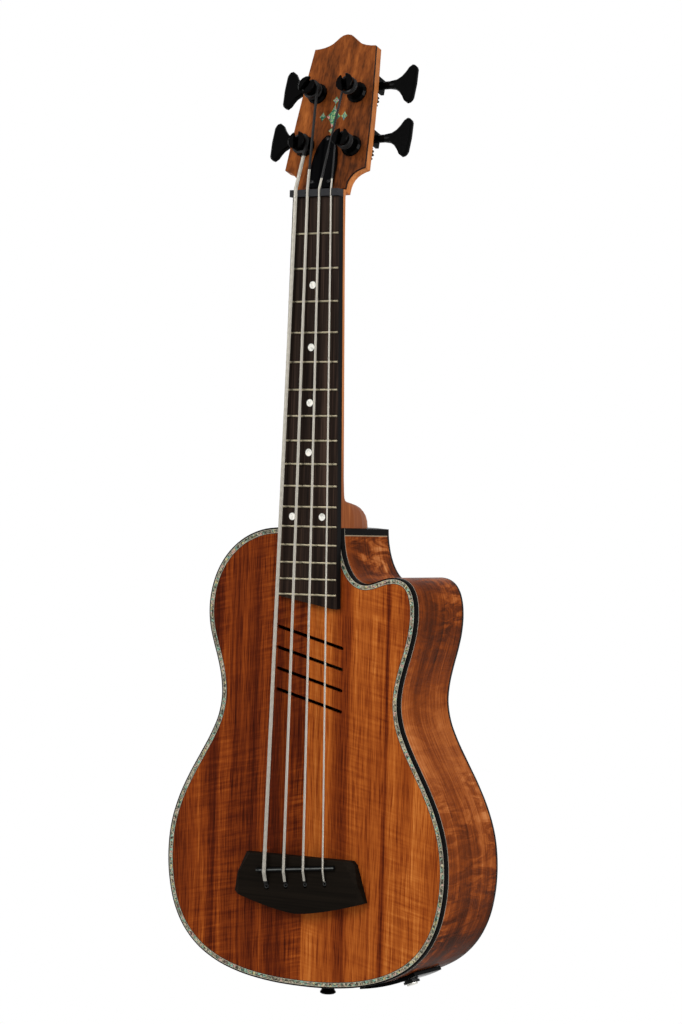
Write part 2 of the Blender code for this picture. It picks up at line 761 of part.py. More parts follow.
def string_ramps():
    """Cutters that open the bridge over each string, from its hole to where it leaves the wood."""
    ramps = []
    for name, (diameter, *_) in STRINGS.items():
        points = bridge_end(name)[2:]
        half = 0.9 * (diameter / 2 + STRING_HOLE_CLEARANCE)
        x, depth, z = points[0]
        above = -2 * BRIDGE_TOP
        loop = [(above, points[-1][2]), (above, z - half), (depth, z - half)]
        loop += [(y, z) for _, y, z in points]
        ramps.append(slab(f"string_ramp_{name}", ACROSS, [loop], -x - half, half - x))
    return ramps


def bridge_outline():
    top = TAIL_Z + BRIDGE_TOP_HEIGHT
    foot = top - BRIDGE_WING_LENGTH
    half = BRIDGE_FOOT_WIDTH / 2
    sag = BRIDGE_LENGTH - BRIDGE_WING_LENGTH
    shares = [i / 6 - 1 for i in range(12)]
    bowed = [(share * half, foot - sag * (1 - abs(share) ** BRIDGE_FOOT_CURVE)) for share in shares]
    corner = BRIDGE_TOP_WIDTH / 2
    return bowed + [(half, foot), (corner + 1 * MM, top - 3 * MM), (corner - 2 * MM, top), (-corner, top)]


def slice_off(solid, point, normal):
    """Cuts away what lies beyond a plane and closes the cut."""
    everything = solid.verts[:] + solid.edges[:] + solid.faces[:]
    cut_through = bmesh.ops.bisect_plane(
        solid, geom=everything, dist=0.0001 * MM, plane_co=point, plane_no=normal, clear_outer=True
    )
    edges = [item for item in cut_through["geom_cut"] if isinstance(item, bmesh.types.BMEdge)]
    bmesh.ops.contextual_create(solid, geom=edges)


def facet(solid, side, start, end, foot):
    """Slopes the bridge from the line start-end on its top down to the point foot, lower down."""
    height = BRIDGE_THICKNESS / 2
    drop = BRIDGE_THICKNESS - BRIDGE_WING_THICKNESS
    first = Vector((side * start[0], start[1], height))
    second = Vector((side * end[0], end[1], height))
    third = Vector((side * foot[0], foot[1], height - drop))
    normal = (second - first).cross(third - first).normalized()
    if normal[2] < 0:
        normal = -normal
    slice_off(solid, first, normal)


def build_bridge():
    ebony = finish("bridge_ebony", (0.02, 0.016, 0.014), 0.5)
    bridge = slab("bridge", FACE, [bridge_outline()], -BRIDGE_TOP, -GAP)
    top = TAIL_Z + BRIDGE_TOP_HEIGHT
    upper = (BRIDGE_FLAT_TOP, top)
    corner = (BRIDGE_FLAT_FOOT, top - BRIDGE_FACET_DROP)
    lower = (BRIDGE_FLAT_FOOT, top - BRIDGE_LENGTH)
    shape = bmesh.new()
    shape.from_mesh(bridge.data)
    for side in (-1, 1):
        facet(shape, side, upper, corner, (BRIDGE_TOP_WIDTH / 2, top))
        facet(shape, side, corner, lower, (BRIDGE_FOOT_WIDTH / 2, top - BRIDGE_WING_LENGTH))
    shape.to_mesh(bridge.data)
    shape.free()
    frame = saddle_frame()
    half = (SADDLE_LENGTH / 2 + GAP, SADDLE_THICKNESS / 2 + GAP)
    floor = BRIDGE_TOP - SADDLE_SLOT_DEPTH
    slot = box("saddle_slot", frame, (-half[0], -half[1], floor), (half[0], half[1], BRIDGE_TOP + 1 * MM))
    cut(bridge, slot, *string_holes("bridge"), *string_ramps(), lead_hole("bridge_lead_hole"))
    keep(bridge, ebony)

    strip_top = floor + GAP + PICKUP_THICKNESS
    strip = box(
        "pickup_strip",
        frame,
        (-SADDLE_LENGTH / 2, -SADDLE_THICKNESS / 2, floor + GAP),
        (SADDLE_LENGTH / 2, SADDLE_THICKNESS / 2, strip_top),
    )
    keep(strip, finish("pickup", (0.45, 0.3, 0.12), 0.4, 0.8))

    saddle = box(
        "saddle",
        frame,
        (-SADDLE_LENGTH / 2, -SADDLE_THICKNESS / 2, strip_top + GAP),
        (SADDLE_LENGTH / 2, SADDLE_THICKNESS / 2, SADDLE_CROWN),
    )
    keep(saddle, finish("saddle", (0.03, 0.03, 0.03), 0.4))

    half = BRIDGE_PLATE_WIDTH / 2
    middle = TAIL_Z + BRIDGE_TOP_HEIGHT - BRIDGE_LENGTH / 2
    behind = TOP_THICKNESS + GAP
    plate = box(
        "bridge_plate",
        FACE,
        (-half, middle - BRIDGE_PLATE_LENGTH / 2, -behind - BRIDGE_PLATE_THICKNESS),
        (half, middle + BRIDGE_PLATE_LENGTH / 2, -behind),
    )
    cut(plate, *string_holes("plate"), lead_hole("plate_lead_hole"))
    keep(plate, finish("bridge_plate", (0.5, 0.33, 0.17), 0.6))


def head_side(v):
    """Half the headstock's width at the distance v from the nut, above its shoulders."""
    share = (v - HEAD_SHOULDER) / (HEAD_CORNER - HEAD_SHOULDER)
    belly = 0.8 * MM * math.sin(math.pi * share)
    return (HEAD_SHOULDER_WIDTH + (HEAD_TOP_WIDTH - HEAD_SHOULDER_WIDTH) * share) / 2 + belly


def head_outline(start):
    """The headstock from the distance start past the nut up to its crown."""
    neck = BOARD_NUT_WIDTH / 2 - 0.4 * MM
    shoulder = (HEAD_SHOULDER_WIDTH / 2, HEAD_SHOULDER)
    top = HEAD_TOP_WIDTH / 2
    right = [(neck, start)]
    right += bezier((neck, max(start, 0) + 1 * MM), (neck, 11 * MM), (27 * MM, 16 * MM), shoulder, 7)
    sides = 5
    reach = HEAD_CORNER - HEAD_SHOULDER
    heights = [HEAD_SHOULDER + reach * i / sides for i in range(sides + 1)]
    right += [(head_side(v), v) for v in heights]
    rise_up = HEAD_PEAK - HEAD_CORNER
    knee = (0.42 * top, HEAD_CORNER + 0.36 * rise_up)
    right += bezier(
        (top, HEAD_CORNER), (0.8 * top, HEAD_CORNER), (0.58 * top, HEAD_CORNER + 0.1 * rise_up), knee, 4
    )[1:]
    right += bezier(knee, (0.26 * top, knee[1] + 0.3 * rise_up), (0.2 * top, HEAD_PEAK), (0, HEAD_PEAK), 4)
    return right + [(0, HEAD_PEAK)] + [(-u, v) for u, v in reversed(right)]


def neck_section(z, depth, fullness):
    """The neck across at height z: flat in front, rounded behind."""
    treble = board_reach(min(z, 0), 1)
    bass = -board_reach(min(z, 0), -1)
    if z > 0:
        bass += NUT_OVERHANG
    points = []
    for i in range(NECK_SIDES + 1):
        turn = math.pi * i / NECK_SIDES
        across = math.copysign(abs(math.cos(turn)) ** (2 / fullness), math.cos(turn))
        reach = treble if across > 0 else bass
        points.append((reach * across, depth * math.sin(turn) ** (2 / fullness), z))
    return points


def build_neck():
    wood = finish("neck_mahogany", MAHOGANY, 0.45)
    ledge = JOINT_Z + HEEL_RISE
    stations = [
        (NUT_THICKNESS, NECK_DEPTH_AT_NUT, 2.9),
        (0, NECK_DEPTH_AT_NUT, 2.4),
        (-NECK_FLARE, NECK_DEPTH, 2.05),
        (-NECK_MIDDLE, (NECK_DEPTH + NECK_DEPTH_AT_HEEL) / 2, 2.05),
        (ledge + 18 * MM, NECK_DEPTH_AT_HEEL, 2.1),
    ]
    foot = JOINT_Z + GAP
    fillet = bezier(
        (NECK_DEPTH_AT_HEEL + 0.5 * MM, ledge + 6 * MM),
        (NECK_DEPTH_AT_HEEL + 1 * MM, ledge + 1.5 * MM),
        (NECK_DEPTH_AT_HEEL + 3 * MM, ledge),
        (NECK_DEPTH_AT_HEEL + 8 * MM, ledge - 0.5 * MM),
        3,
    )
    round_end = bezier(
        (NECK_DEPTH_AT_HEEL + 8 * MM, ledge - 0.5 * MM),
        (0.78 * HEEL_DEPTH, ledge - 2.5 * MM),
        (HEEL_DEPTH, ledge - 0.3 * HEEL_RISE),
        (HEEL_DEPTH, foot),
        7,
    )
    stations += [(z, depth, 2.2) for depth, z in fillet + round_end + [(HEEL_DEPTH, foot)]]
    neck = loft("neck", None, [neck_section(*station) for station in stations])
    slope = 1 * MM
    head = slab(
        "headstock", HEAD, [head_outline(-slope)], HEADPLATE_THICKNESS + GAP, HEAD_THICKNESS
    )
    join(neck, head)
    cut(neck, truss_channel("neck"), pocket("neck_pocket"), *machine_holes("neck"))
    keep(neck, wood, smooth=True)

    plate_start = 1.1 * MM
    plate = slab("headplate", HEAD, [head_outline(plate_start)], 0, HEADPLATE_THICKNESS)
    cut(plate, pocket("headplate_pocket"), *machine_holes("headplate"))
    keep(plate, finish("headplate_koa", KOA, 0.3))

    truss = box(
        "truss_rod",
        FACE,
        (-TRUSS_ROD_WIDTH / 2, -TRUSS_ROD_LENGTH, -TRUSS_ROD_DEPTH - GAP),
        (TRUSS_ROD_WIDTH / 2, NUT_THICKNESS - 1 * MM, -GAP),
    )
    keep(truss, finish("truss_rod", (0.35, 0.35, 0.36), 0.35, 1.0))

    cover = slab("truss_rod_cover", HEAD, [cover_outline()], -GAP - COVER_THICKNESS, -GAP)
    soften(cover, 0.7 * MM, 1, 60)
    keep(cover, finish("cover", BLACK, 0.15), smooth=True)


def cover_outline():
    half = COVER_WIDTH / 2
    low = 1.2 * MM
    shoulder = (half, 0.46 * COVER_LENGTH)
    tip = (0, COVER_LENGTH)
    right = [(0.93 * half, low)]
    right += bezier(shoulder, (0.97 * half, 0.72 * COVER_LENGTH), (0.5 * half, COVER_LENGTH), tip, 8)
    return right + [tip] + [(-u, v) for u, v in reversed(right)]


def pocket(name):
    half = POCKET_WIDTH / 2
    return box(name, HEAD, (-half, -3 * MM, -POCKET_DEPTH), (half, POCKET_LENGTH, 20 * MM))


def build_fretboard():
    end = board_reach(-BOARD_END_TREBLE, 1)
    loop = [
        (board_reach(0, -1), -GAP),
        (board_reach(-BOARD_END_BASS, -1), -BOARD_END_BASS),
        (end - BOARD_END_FLAT, -BOARD_END_TREBLE + 0.3 * MM),
        (end - 0.6 * MM, -BOARD_END_TREBLE),
        (end, -BOARD_END_TREBLE + 0.6 * MM),
        (board_reach(0, 1), -GAP),
    ]
    board = slab("fretboard", FACE, [loop], -BOARD_TOP, -GAP)
    slots = bmesh.new()
    slot_half = TANG_WIDTH / 2 + GAP
    slot_floor = BOARD_TOP - TANG_DEPTH
    brass = finish("fret_wire", (0.72, 0.65, 0.5), 0.25, 1.0)
    for number in range(1, FRET_COUNT + 1):
        z = -SCALE_LENGTH * (1 - 2 ** (-number / 12))
        low = board_reach(z, -1) + FRET_INSET
        high = board_reach(z, 1) - FRET_INSET
        size = (high - low + 2 * GAP, 2 * slot_half, BOARD_THICKNESS)
        middle = ((low + high) / 2, z, slot_floor + BOARD_THICKNESS / 2)
        bmesh.ops.create_cube(
            slots, size=1, matrix=Matrix.Translation(middle) @ Matrix.Diagonal((*size, 1))
        )
        foot = BOARD_TOP + GAP
        crown = [
            (-foot - FRET_HEIGHT * math.sin(a), z + FRET_WIDTH / 2 * math.cos(a))
            for a in (math.pi * i / 4 for i in range(5))
        ]
        tang_end = -(slot_floor + GAP)
        tang = [
            (-foot, z - TANG_WIDTH / 2),
            (tang_end, z - TANG_WIDTH / 2),
            (tang_end, z + TANG_WIDTH / 2),
            (-foot, z + TANG_WIDTH / 2),
        ]
        keep(slab(f"fret_{number:02d}", ACROSS, [crown + tang], -high, -low), brass, smooth=True)
    mesh = bpy.data.meshes.new("fret_slots")
    slots.to_mesh(mesh)
    slots.free()
    cut(board, place("fret_slots", mesh, FACE))
    keep(board, finish("rosewood", (0.055, 0.033, 0.026), 0.45))

    bass = board_reach(0, -1) - NUT_OVERHANG
    nut_block = box("nut", FACE, (bass, 0, GAP), (board_reach(0, 1), NUT_THICKNESS, NUT_HEIGHT))
    cut(nut_block, *nut_slots())
    keep(nut_block, finish("nut", (0.03, 0.03, 0.032), 0.4))


def nut_crossing(name):
    """Where a string's middle leaves the nut's back edge, in the part's axes."""
    radius = STRINGS[name][0] / 2
    height = BOARD_TOP + NUT_ACTION + radius
    return Vector((string_x(name, NUT_SPACING), -height, NUT_THICKNESS + radius / 2))


def open_length(name):
    """The string between the saddle and the nut, as two points."""
    x = string_x(name, SADDLE_SPACING)
    saddle = Vector((x, -string_height(name), saddle_z(x) - SADDLE_THICKNESS / 2 - GAP))
    nut = nut_crossing(name)
    nut[2] = 0
    return saddle, nut


def nut_slots():
    """Cutters that follow the strings over the nut."""
    slots = []
    for name, (diameter, *_) in STRINGS.items():
        saddle, nut = open_length(name)
        back = nut_crossing(name)
        approach = nut + (saddle - nut).normalized() * 3 * MM
        beyond = lead_points(name)[0]
        path = [approach, nut, back, back + (beyond - back).normalized() * 6 * MM]
        radius = diameter / 2 + STRING_HOLE_CLEARANCE
        slots.append(as_mesh(tube(f"nut_slot_{name}", None, path, radius)))
    return slots


def post_frame(name):
    """The frame of one machine: X to the treble side, Y up the headstock, Z out of its face."""
    _, side, across, along, *_ = STRINGS[name]
    return HEAD @ Matrix.Translation((side * across, along, 0))


def winding(name):
    """The turns of a string round its post, in the machine's frame, from the lead's side."""
    diameter, side, _, _, _, lead, turns, _ = STRINGS[name]
    ring = POST_RADIUS + GAP + diameter / 2
    pitch = math.copysign(diameter + TURN_GAP, turns)
    start = tangent_angle(name, ring)
    steps = round(abs(turns) * TURN_POINTS)
    points = []
    for i in range(steps + 1):
        done = i / TURN_POINTS
        angle = start - side * 2 * math.pi * done
        points.append(Vector((ring * math.cos(angle), ring * math.sin(angle), lead + pitch * done)))
    return points


def tangent_angle(name, ring):
    """Where round its post the string touches first: on the side of the centreline."""
    side = STRINGS[name][1]
    start = post_frame(name).inverted() @ nut_crossing(name)
    away = math.atan2(start[1], start[0])
    distance = math.hypot(start[0], start[1])
    return away - side * math.acos(ring / distance)


def lead_points(name):
    """The string's first points round its post, in the part's axes."""
    frame = post_frame(name)
    return [frame @ point for point in winding(name)]


def least_turn_gap(name):
    """Smallest clear distance between turns, measured between points over half a turn apart."""
    points = winding(name)
    reach = int(TURN_POINTS / 2)
    pairs = [
        (a - b).length for i, a in enumerate(points) for b in points[i + reach :]
    ]
    return min(pairs) - STRINGS[name][0] if pairs else None


def build_strings():
    for name, (diameter, *_) in STRINGS.items():
        tail = [Vector(point) for point in bridge_end(name)]
        ball = [tail[0] + Vector((0, depth, 0)) for depth in (BALL_LENGTH, GAP)]
        saddle, nut = open_length(name)
        points = ball + tail[:-1] + [saddle, nut, nut_crossing(name)] + lead_points(name)
        widths = [BALL_SWELL] * len(ball) + [1] * (len(points) - len(ball))
        string = tube(f"string_{name}", None, points, diameter / 2, 1, widths)
        keep(string, finish(f"string_{name}", (0.55, 0.55, 0.53), 0.35, 0.9))
        print(f"string {name}: least gap between turns {least_turn_gap(name) / MM:.2f} mm")


def machine_holes(piece):
    return [
        rod(f"{piece}_hole_{name}", post_frame(name), BARREL_RADIUS + GAP, -20 * MM, 3 * MM)
        for name in STRINGS
    ]


def machine_plate_outline():
    """The plate behind the headstock, round the post's axis and up past the worm's."""
    low = -8.5 * MM
    high = WORM_OFFSET + BEARING_SIZE / 2
    half = BEARING_START + BEARING_WIDTH
    corner = 2 * MM
    right = [(half - corner, low), (half, low + corner), (half, high - corner), (half - corner, high)]
    return right + [(-u, v) for u, v in reversed(right)]


def build_housing(name, black):
    """The fixed part of a machine: plate, bearing blocks, bush and the ferrule in front."""
    frame = post_frame(name)
    plate_front = HEAD_THICKNESS + GAP
    plate_back = plate_front + MACHINE_PLATE
    plate = slab(f"machine_{name}", frame, [machine_plate_outline()], plate_front, plate_back)
    face = GAP + FERRULE_THICKNESS
    bush = turned(
        f"bush_{name}",
        frame,
        [
            (0, face),
            (FERRULE_RADIUS - 1.4 * MM, face),
            (FERRULE_RADIUS, GAP + 1.2 * MM),
            (FERRULE_RADIUS, GAP),
            (BARREL_RADIUS, GAP),
            (BARREL_RADIUS, -plate_front - MACHINE_PLATE / 2),
            (0, -plate_front - MACHINE_PLATE / 2),
        ],
    )
    join(plate, bush)
    half = BEARING_SIZE / 2
    for side in (-1, 1):
        inner = side * BEARING_START
        outer = side * (BEARING_START + BEARING_WIDTH)
        block = box(
            f"bearing_{name}_{side}",
            frame,
            (min(inner, outer), WORM_OFFSET - half, -WORM_DEPTH - half + 1 * MM),
            (max(inner, outer), WORM_OFFSET + half - 0.5 * MM, -plate_front - MACHINE_PLATE / 2),
        )
        join(plate, block)
    bore = rod(f"bore_{name}", frame, POST_SHAFT_RADIUS + GAP, -plate_back - 1 * MM, face + 1 * MM)
    shaft = rod(
        f"shaft_bore_{name}",
        worm_frame(name),
        KEY_SHAFT_RADIUS + GAP,
        -BEARING_START - 2 * BEARING_WIDTH,
        BEARING_START + 2 * BEARING_WIDTH,
    )
    cut(plate, bore, shaft)
    keep(plate, black, smooth=True)


def gear_section(height):
    """The toothed outline of a post's gear, turned to follow the worm's thread at this height."""
    lead = math.atan(WORM_PITCH / (2 * math.pi * THREAD_RING))
    above = height + WORM_DEPTH
    twist = math.tan(lead) * above / (WORM_OFFSET - THREAD_RING)
    points = []
    for tooth in range(GEAR_TEETH):
        middle = math.pi / 2 + (tooth + 0.5) * 2 * math.pi / GEAR_TEETH + twist
        for radius, half in (
            (GEAR_ROOT_RADIUS, -0.85 * MM),
            (GEAR_TIP_RADIUS, -0.45 * MM),
            (GEAR_TIP_RADIUS, 0.45 * MM),
            (GEAR_ROOT_RADIUS, 0.85 * MM),
        ):
            angle = middle + half / radius
            points.append((radius * math.cos(angle), radius * math.sin(angle), height))
    return points


def build_post(name, black):
    """The string post, its shaft through the headstock and the gear behind."""
    frame = post_frame(name)
    height = STRINGS[name][4]
    seat = 2 * GAP + FERRULE_THICKNESS
    collar = POST_SHAFT_RADIUS + 1.4 * MM
    hub_top = -(HEAD_THICKNESS + 2 * GAP + MACHINE_PLATE)
    gear_top = -(WORM_DEPTH - GEAR_WIDTH / 2)
    gear_end = gear_top - GEAR_WIDTH
    neck = height - POST_HEAD_THICKNESS
    profile = [
        (0, height),
        (POST_HEAD_RADIUS - 0.6 * MM, height),
        (POST_HEAD_RADIUS, height - 0.6 * MM),
        (POST_HEAD_RADIUS - 0.5 * MM, neck + 0.8 * MM),
        (POST_RADIUS, neck),
        (POST_RADIUS, seat),
        (POST_SHAFT_RADIUS, seat),
        (POST_SHAFT_RADIUS, hub_top),
        (collar, hub_top),
        (collar, gear_end - 0.8 * MM),
        (0, gear_end - 0.8 * MM),
    ]
    post = turned(f"post_{name}", frame, profile)
    gear = loft(f"gear_{name}", frame, [gear_section(gear_end), gear_section(gear_top)])
    join(post, gear)
    turn = frame @ Matrix.Rotation(math.radians(STRINGS[name][7]), 4, "Z")
    half = POST_SLOT_WIDTH / 2
    reach = POST_HEAD_RADIUS + 1 * MM
    above = height + 1 * MM
    slot = box(f"post_slot_{name}", turn, (-reach, -half, height - POST_SLOT_DEPTH), (reach, half, above))
    bottom = height - 2 * POST_SLOT_DEPTH
    hole = rod(f"post_hole_{name}", frame, 0.6 * POST_SLOT_WIDTH, bottom, above, 12)
    cut(post, slot, hole)
    keep(post, black, smooth=True)


def worm_frame(name):
    """The frame of a machine's worm: Z along its axis to the treble side."""
    return post_frame(name) @ Matrix.Translation((0, WORM_OFFSET, -WORM_DEPTH)) @ ALONG_X


def key_outline(side):
    """The flared key seen from the front: along its axis, and across."""
    stem = BEARING_START + BEARING_WIDTH + KEY_STEM_LENGTH
    tip = (KEY_LENGTH - KEY_TIP_RADIUS - 0.6 * MM, KEY_WIDTH / 2 - KEY_TIP_RADIUS)
    leave = math.radians(150)
    start = (tip[0] + KEY_TIP_RADIUS * math.cos(leave), tip[1] + KEY_TIP_RADIUS * math.sin(leave))
    waist = 0.85 * KEY_STEM_RADIUS
    pull = (start[0] - 3 * MM, start[1] - 5 * MM)
    top = bezier((stem - 2 * MM, waist), (stem + 8 * MM, waist), pull, start, 4)
    for angle in range(150, -1, -50):
        turn = math.radians(angle)
        top.append((tip[0] + KEY_TIP_RADIUS * math.cos(turn), tip[1] + KEY_TIP_RADIUS * math.sin(turn)))
    loop = top + [(KEY_LENGTH, 0)] + [(x, -y) for x, y in reversed(top)]
    return [(side * x, y) for x, y in loop]


def build_key(name, black):
    """The key with its shaft and worm, which turn as one."""
    side = STRINGS[name][1]
    frame = worm_frame(name)
    inner = BEARING_START - GAP
    outer = BEARING_START + BEARING_WIDTH + GAP
    stem = BEARING_START + BEARING_WIDTH + KEY_STEM_LENGTH
    profile = [
        (0, stem + 4 * MM),
        (KEY_STEM_RADIUS - 0.6 * MM, stem + 4 * MM),
        (KEY_STEM_RADIUS, stem),
        (KEY_STEM_RADIUS, outer),
        (KEY_SHAFT_RADIUS, outer),
        (KEY_SHAFT_RADIUS, inner),
        (WORM_CORE_RADIUS, inner),
        (WORM_CORE_RADIUS, -inner),
        (KEY_SHAFT_RADIUS, -inner),
        (KEY_SHAFT_RADIUS, -outer),
        (0, -outer),
    ]
    if side < 0:
        profile = [(radius, -height) for radius, height in reversed(profile)]
    key = turned(f"key_{name}", frame, profile, 12)
    thread = as_mesh(tube(f"thread_{name}", frame, thread_points(), THREAD_RADIUS, 1))
    paddle_frame = post_frame(name) @ Matrix.Translation((0, WORM_OFFSET, -WORM_DEPTH))
    half = KEY_THICKNESS / 2
    paddle = slab(f"paddle_{name}", paddle_frame, [key_outline(side)], -half, half)
    soften(paddle, 1.3 * MM, 1, 50)
    join(key, thread, paddle)
    keep(key, black, smooth=True)


def thread_points():
    """The worm's right-handed thread; its crest faces the gear at the middle of its length."""
    points_per_turn = 8
    count = round(THREAD_TURNS * points_per_turn)
    points = []
    for i in range(count + 1):
        turn = 2 * math.pi * (i / points_per_turn - THREAD_TURNS / 2)
        angle = turn + gear_side_angle()
        points.append(
            (
                THREAD_RING * math.cos(angle),
                THREAD_RING * math.sin(angle),
                WORM_PITCH * turn / (2 * math.pi),
            )
        )
    return points


def gear_side_angle():
    """The direction from the worm's axis to the gear, as an angle in the worm's frame."""
    toward = ALONG_X.inverted() @ Vector((0, -1, 0))
    return math.atan2(toward[1], toward[0])


def build_machines():
    black = finish("machine_black", BLACK, 0.22, 0.4)
    gloss = finish("key_black", BLACK, 0.12)
    for name in STRINGS:
        build_housing(name, black)
        build_post(name, black)
        build_key(name, gloss)


def jack_place():
    """A frame at the jack: origin on the outline at mid-depth, Z straight out of the side."""
    fine = lower_bout_curve(400)
    i = min(range(1, 399), key=lambda k: abs(fine[k][0] - JACK_REACH))
    run = Vector(fine[i + 1]) - Vector(fine[i - 1])
    out = Vector((run[1], 0, -run[0])).normalized()
    sideways = Vector((0, 1, 0))
    along = sideways.cross(out)
    axes = Matrix((along, sideways, out)).transposed().to_4x4()
    return Matrix.Translation((fine[i][0], BODY_MIDDLE, fine[i][1])) @ axes


def jack_hole(name):
    reach = 12 * MM
    return rod(name, jack_place(), JACK_BARREL_RADIUS + GAP, -reach, reach)


def build_jack():
    fine = [p for p in lower_bout_curve(60) if JACK_PLATE_REACH[0] <= p[0] <= JACK_PLATE_REACH[1]][::2]
    inner = offset(fine, -GAP, closed=False)
    outer = offset(fine, -GAP - JACK_PLATE_THICKNESS, closed=False)
    loop = outer + list(reversed(inner))
    front = BODY_MIDDLE - JACK_PLATE_WIDTH / 2
    plate = slab("jack_plate", FACE, [loop], front, front + JACK_PLATE_WIDTH)
    cut(plate, jack_hole("plate_jack_hole"))
    keep(plate, finish("jack_plate", BLACK, 0.35))

    seat = JACK_PLATE_THICKNESS + 3 * GAP
    flange = seat + 2.0 * MM
    mouth = flange + 0.8 * MM
    inside = -(SIDE_THICKNESS + JACK_SETBACK)
    end = inside - JACK_BODY_LENGTH
    lip = 1.2 * MM
    profile = [
        (0, end + 2 * MM),
        (JACK_BORE_RADIUS, end + 2 * MM),
        (JACK_BORE_RADIUS, mouth - lip),
        (JACK_BORE_RADIUS + lip / 2, mouth),
        (JACK_RING_RADIUS - 0.4 * MM, mouth),
        (JACK_RING_RADIUS, mouth - 0.4 * MM),
        (JACK_RING_RADIUS, flange),
        (JACK_FLANGE_RADIUS, flange),
        (JACK_FLANGE_RADIUS, seat),
        (JACK_BARREL_RADIUS, seat),
        (JACK_BARREL_RADIUS, inside),
        (JACK_BODY_RADIUS, inside),
        (JACK_BODY_RADIUS, end),
        (0, end),
    ]
    jack = turned("output_jack", jack_place(), profile, 20)
    keep(jack, finish("jack_metal", (0.75, 0.75, 0.76), 0.25, 1.0), smooth=True)


def build_strap_button():
    frame = Matrix.Translation((0, BODY_MIDDLE, TAIL_Z - GAP))
    profile = [
        (0, 0),
        (BUTTON_WAIST_RADIUS + 0.8 * MM, 0),
        (BUTTON_WAIST_RADIUS, -1.5 * MM),
        (BUTTON_WAIST_RADIUS, -4.5 * MM),
        (BUTTON_RADIUS - 1 * MM, -BUTTON_LENGTH + 3 * MM),
        (BUTTON_RADIUS, -BUTTON_LENGTH + 1.6 * MM),
        (BUTTON_RADIUS - 0.2 * MM, -BUTTON_LENGTH + 0.8 * MM),
        (BUTTON_RADIUS - 1.4 * MM, -BUTTON_LENGTH),
        (0, -BUTTON_LENGTH),
    ]
    button = turned("strap_button", frame, profile, 16)
    keep(button, finish("button_black", BLACK, 0.25), smooth=True)


def lead_start():
    """Under the treble end of the pickup strip, in its slot's floor."""
    x = SADDLE_LENGTH / 2 - 4 * MM
    return Vector((x, -(BRIDGE_TOP - SADDLE_SLOT_DEPTH), saddle_z(x)))


def lead_hole(name):
    start = lead_start()
    frame = FACE @ Matrix.Translation((start[0], start[2], 0))
    end = BRIDGE_TOP - SADDLE_SLOT_DEPTH + 1 * MM
    return rod(name, frame, LEAD_RADIUS + STRING_HOLE_CLEARANCE, -12 * MM, end, 12)


def build_lead():
    """The pickup's lead, from the strip through the top to the jack's inner end."""
    start = lead_start()
    jack = jack_place()
    end = -(SIDE_THICKNESS + JACK_SETBACK + JACK_BODY_LENGTH + GAP)
    straight = 3 * LEAD_RADIUS * 2
    socket = jack @ Vector((0, 0, end))
    before = jack @ Vector((0, 0, end - straight))
    below = start + Vector((0, 16 * MM, 0))
    route = [start, start + Vector((0, 6 * MM, 0)), below]
    corners = (below, below + Vector((0, 14 * MM, -6 * MM)), before + (before - socket) * 2.5, before)
    steps = 10
    for i in range(1, steps):
        t = i / steps
        s = 1 - t
        weights = (s**3, 3 * s * s * t, 3 * s * t * t, t**3)
        route.append(sum((w * c for w, c in zip(weights, corners)), Vector()))
    route += [before, socket]
    lead = tube("pickup_lead", None, route, LEAD_RADIUS)
    keep(lead, finish("lead_grey", (0.08, 0.08, 0.08), 0.5))


build_shells()
build_frame()
build_bridge()
build_neck()
build_fretboard()
build_strings()
build_machines()
build_jack()
build_strap_button()
build_lead()
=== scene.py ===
"""The look of a bass ukulele: materials, fittings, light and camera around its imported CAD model.

X points to the treble side, Y from the top into the body, Z up the neck, all in metres.
"""

import math

import bmesh
import bpy
from mathutils import Matrix, Vector


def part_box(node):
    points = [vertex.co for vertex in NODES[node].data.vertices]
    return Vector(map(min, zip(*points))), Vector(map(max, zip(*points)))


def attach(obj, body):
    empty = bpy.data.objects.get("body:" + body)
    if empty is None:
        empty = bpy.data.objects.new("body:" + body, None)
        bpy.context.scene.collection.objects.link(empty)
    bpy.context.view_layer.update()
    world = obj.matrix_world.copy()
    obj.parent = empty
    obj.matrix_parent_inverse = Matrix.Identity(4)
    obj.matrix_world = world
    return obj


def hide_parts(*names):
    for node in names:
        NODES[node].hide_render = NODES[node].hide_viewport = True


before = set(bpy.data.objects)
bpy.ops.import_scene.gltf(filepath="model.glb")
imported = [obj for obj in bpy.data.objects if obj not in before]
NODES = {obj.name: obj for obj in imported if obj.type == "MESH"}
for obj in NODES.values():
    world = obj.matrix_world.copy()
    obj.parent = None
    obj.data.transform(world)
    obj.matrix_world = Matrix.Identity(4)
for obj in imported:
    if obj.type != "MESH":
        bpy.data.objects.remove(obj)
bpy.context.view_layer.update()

MM = 0.001
JACK_WAY = Vector((0.35091, 0.0, -0.93641))  # out of the body, along the jack's axis
JACK_MOUTH = Vector((76.8, 43.2, -612.45)) * MM
JOINT_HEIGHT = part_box("top_binding")[1][2]  # of the body's end, where the neck joins it
BACK_THICKNESS = 2.5 * MM
TOP_THICKNESS = 2.6 * MM
SIDE_THICKNESS = 2.5 * MM
BINDING_WIDTH = 1.2 * MM
SHELL_INSET = 4.85 * MM  # where the wood of the top begins
INLAY_DEPTH = 0.4 * MM
INLAY_BEVEL = 0.02 * MM
SCALE_LENGTH = 515 * MM
BOARD_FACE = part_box("fretboard")[0][1]

# For each string, in mm: its post's place across and along the headstock, the heights between which it
# is bright, and the width of one wrap wire
POSTS = {"E": (-21.6, 38.0), "A": (-18.2, 82.7), "D": (18.2, 81.8), "G": (21.6, 36.4)}
SILK = {"E": (33, -535.5), "A": (21.5, -534.5), "D": (14.0, -532.5), "G": (13.2, -531.8)}
WRAP = {"E": 0.9, "A": 0.75, "D": 0.65, "G": 0.55}

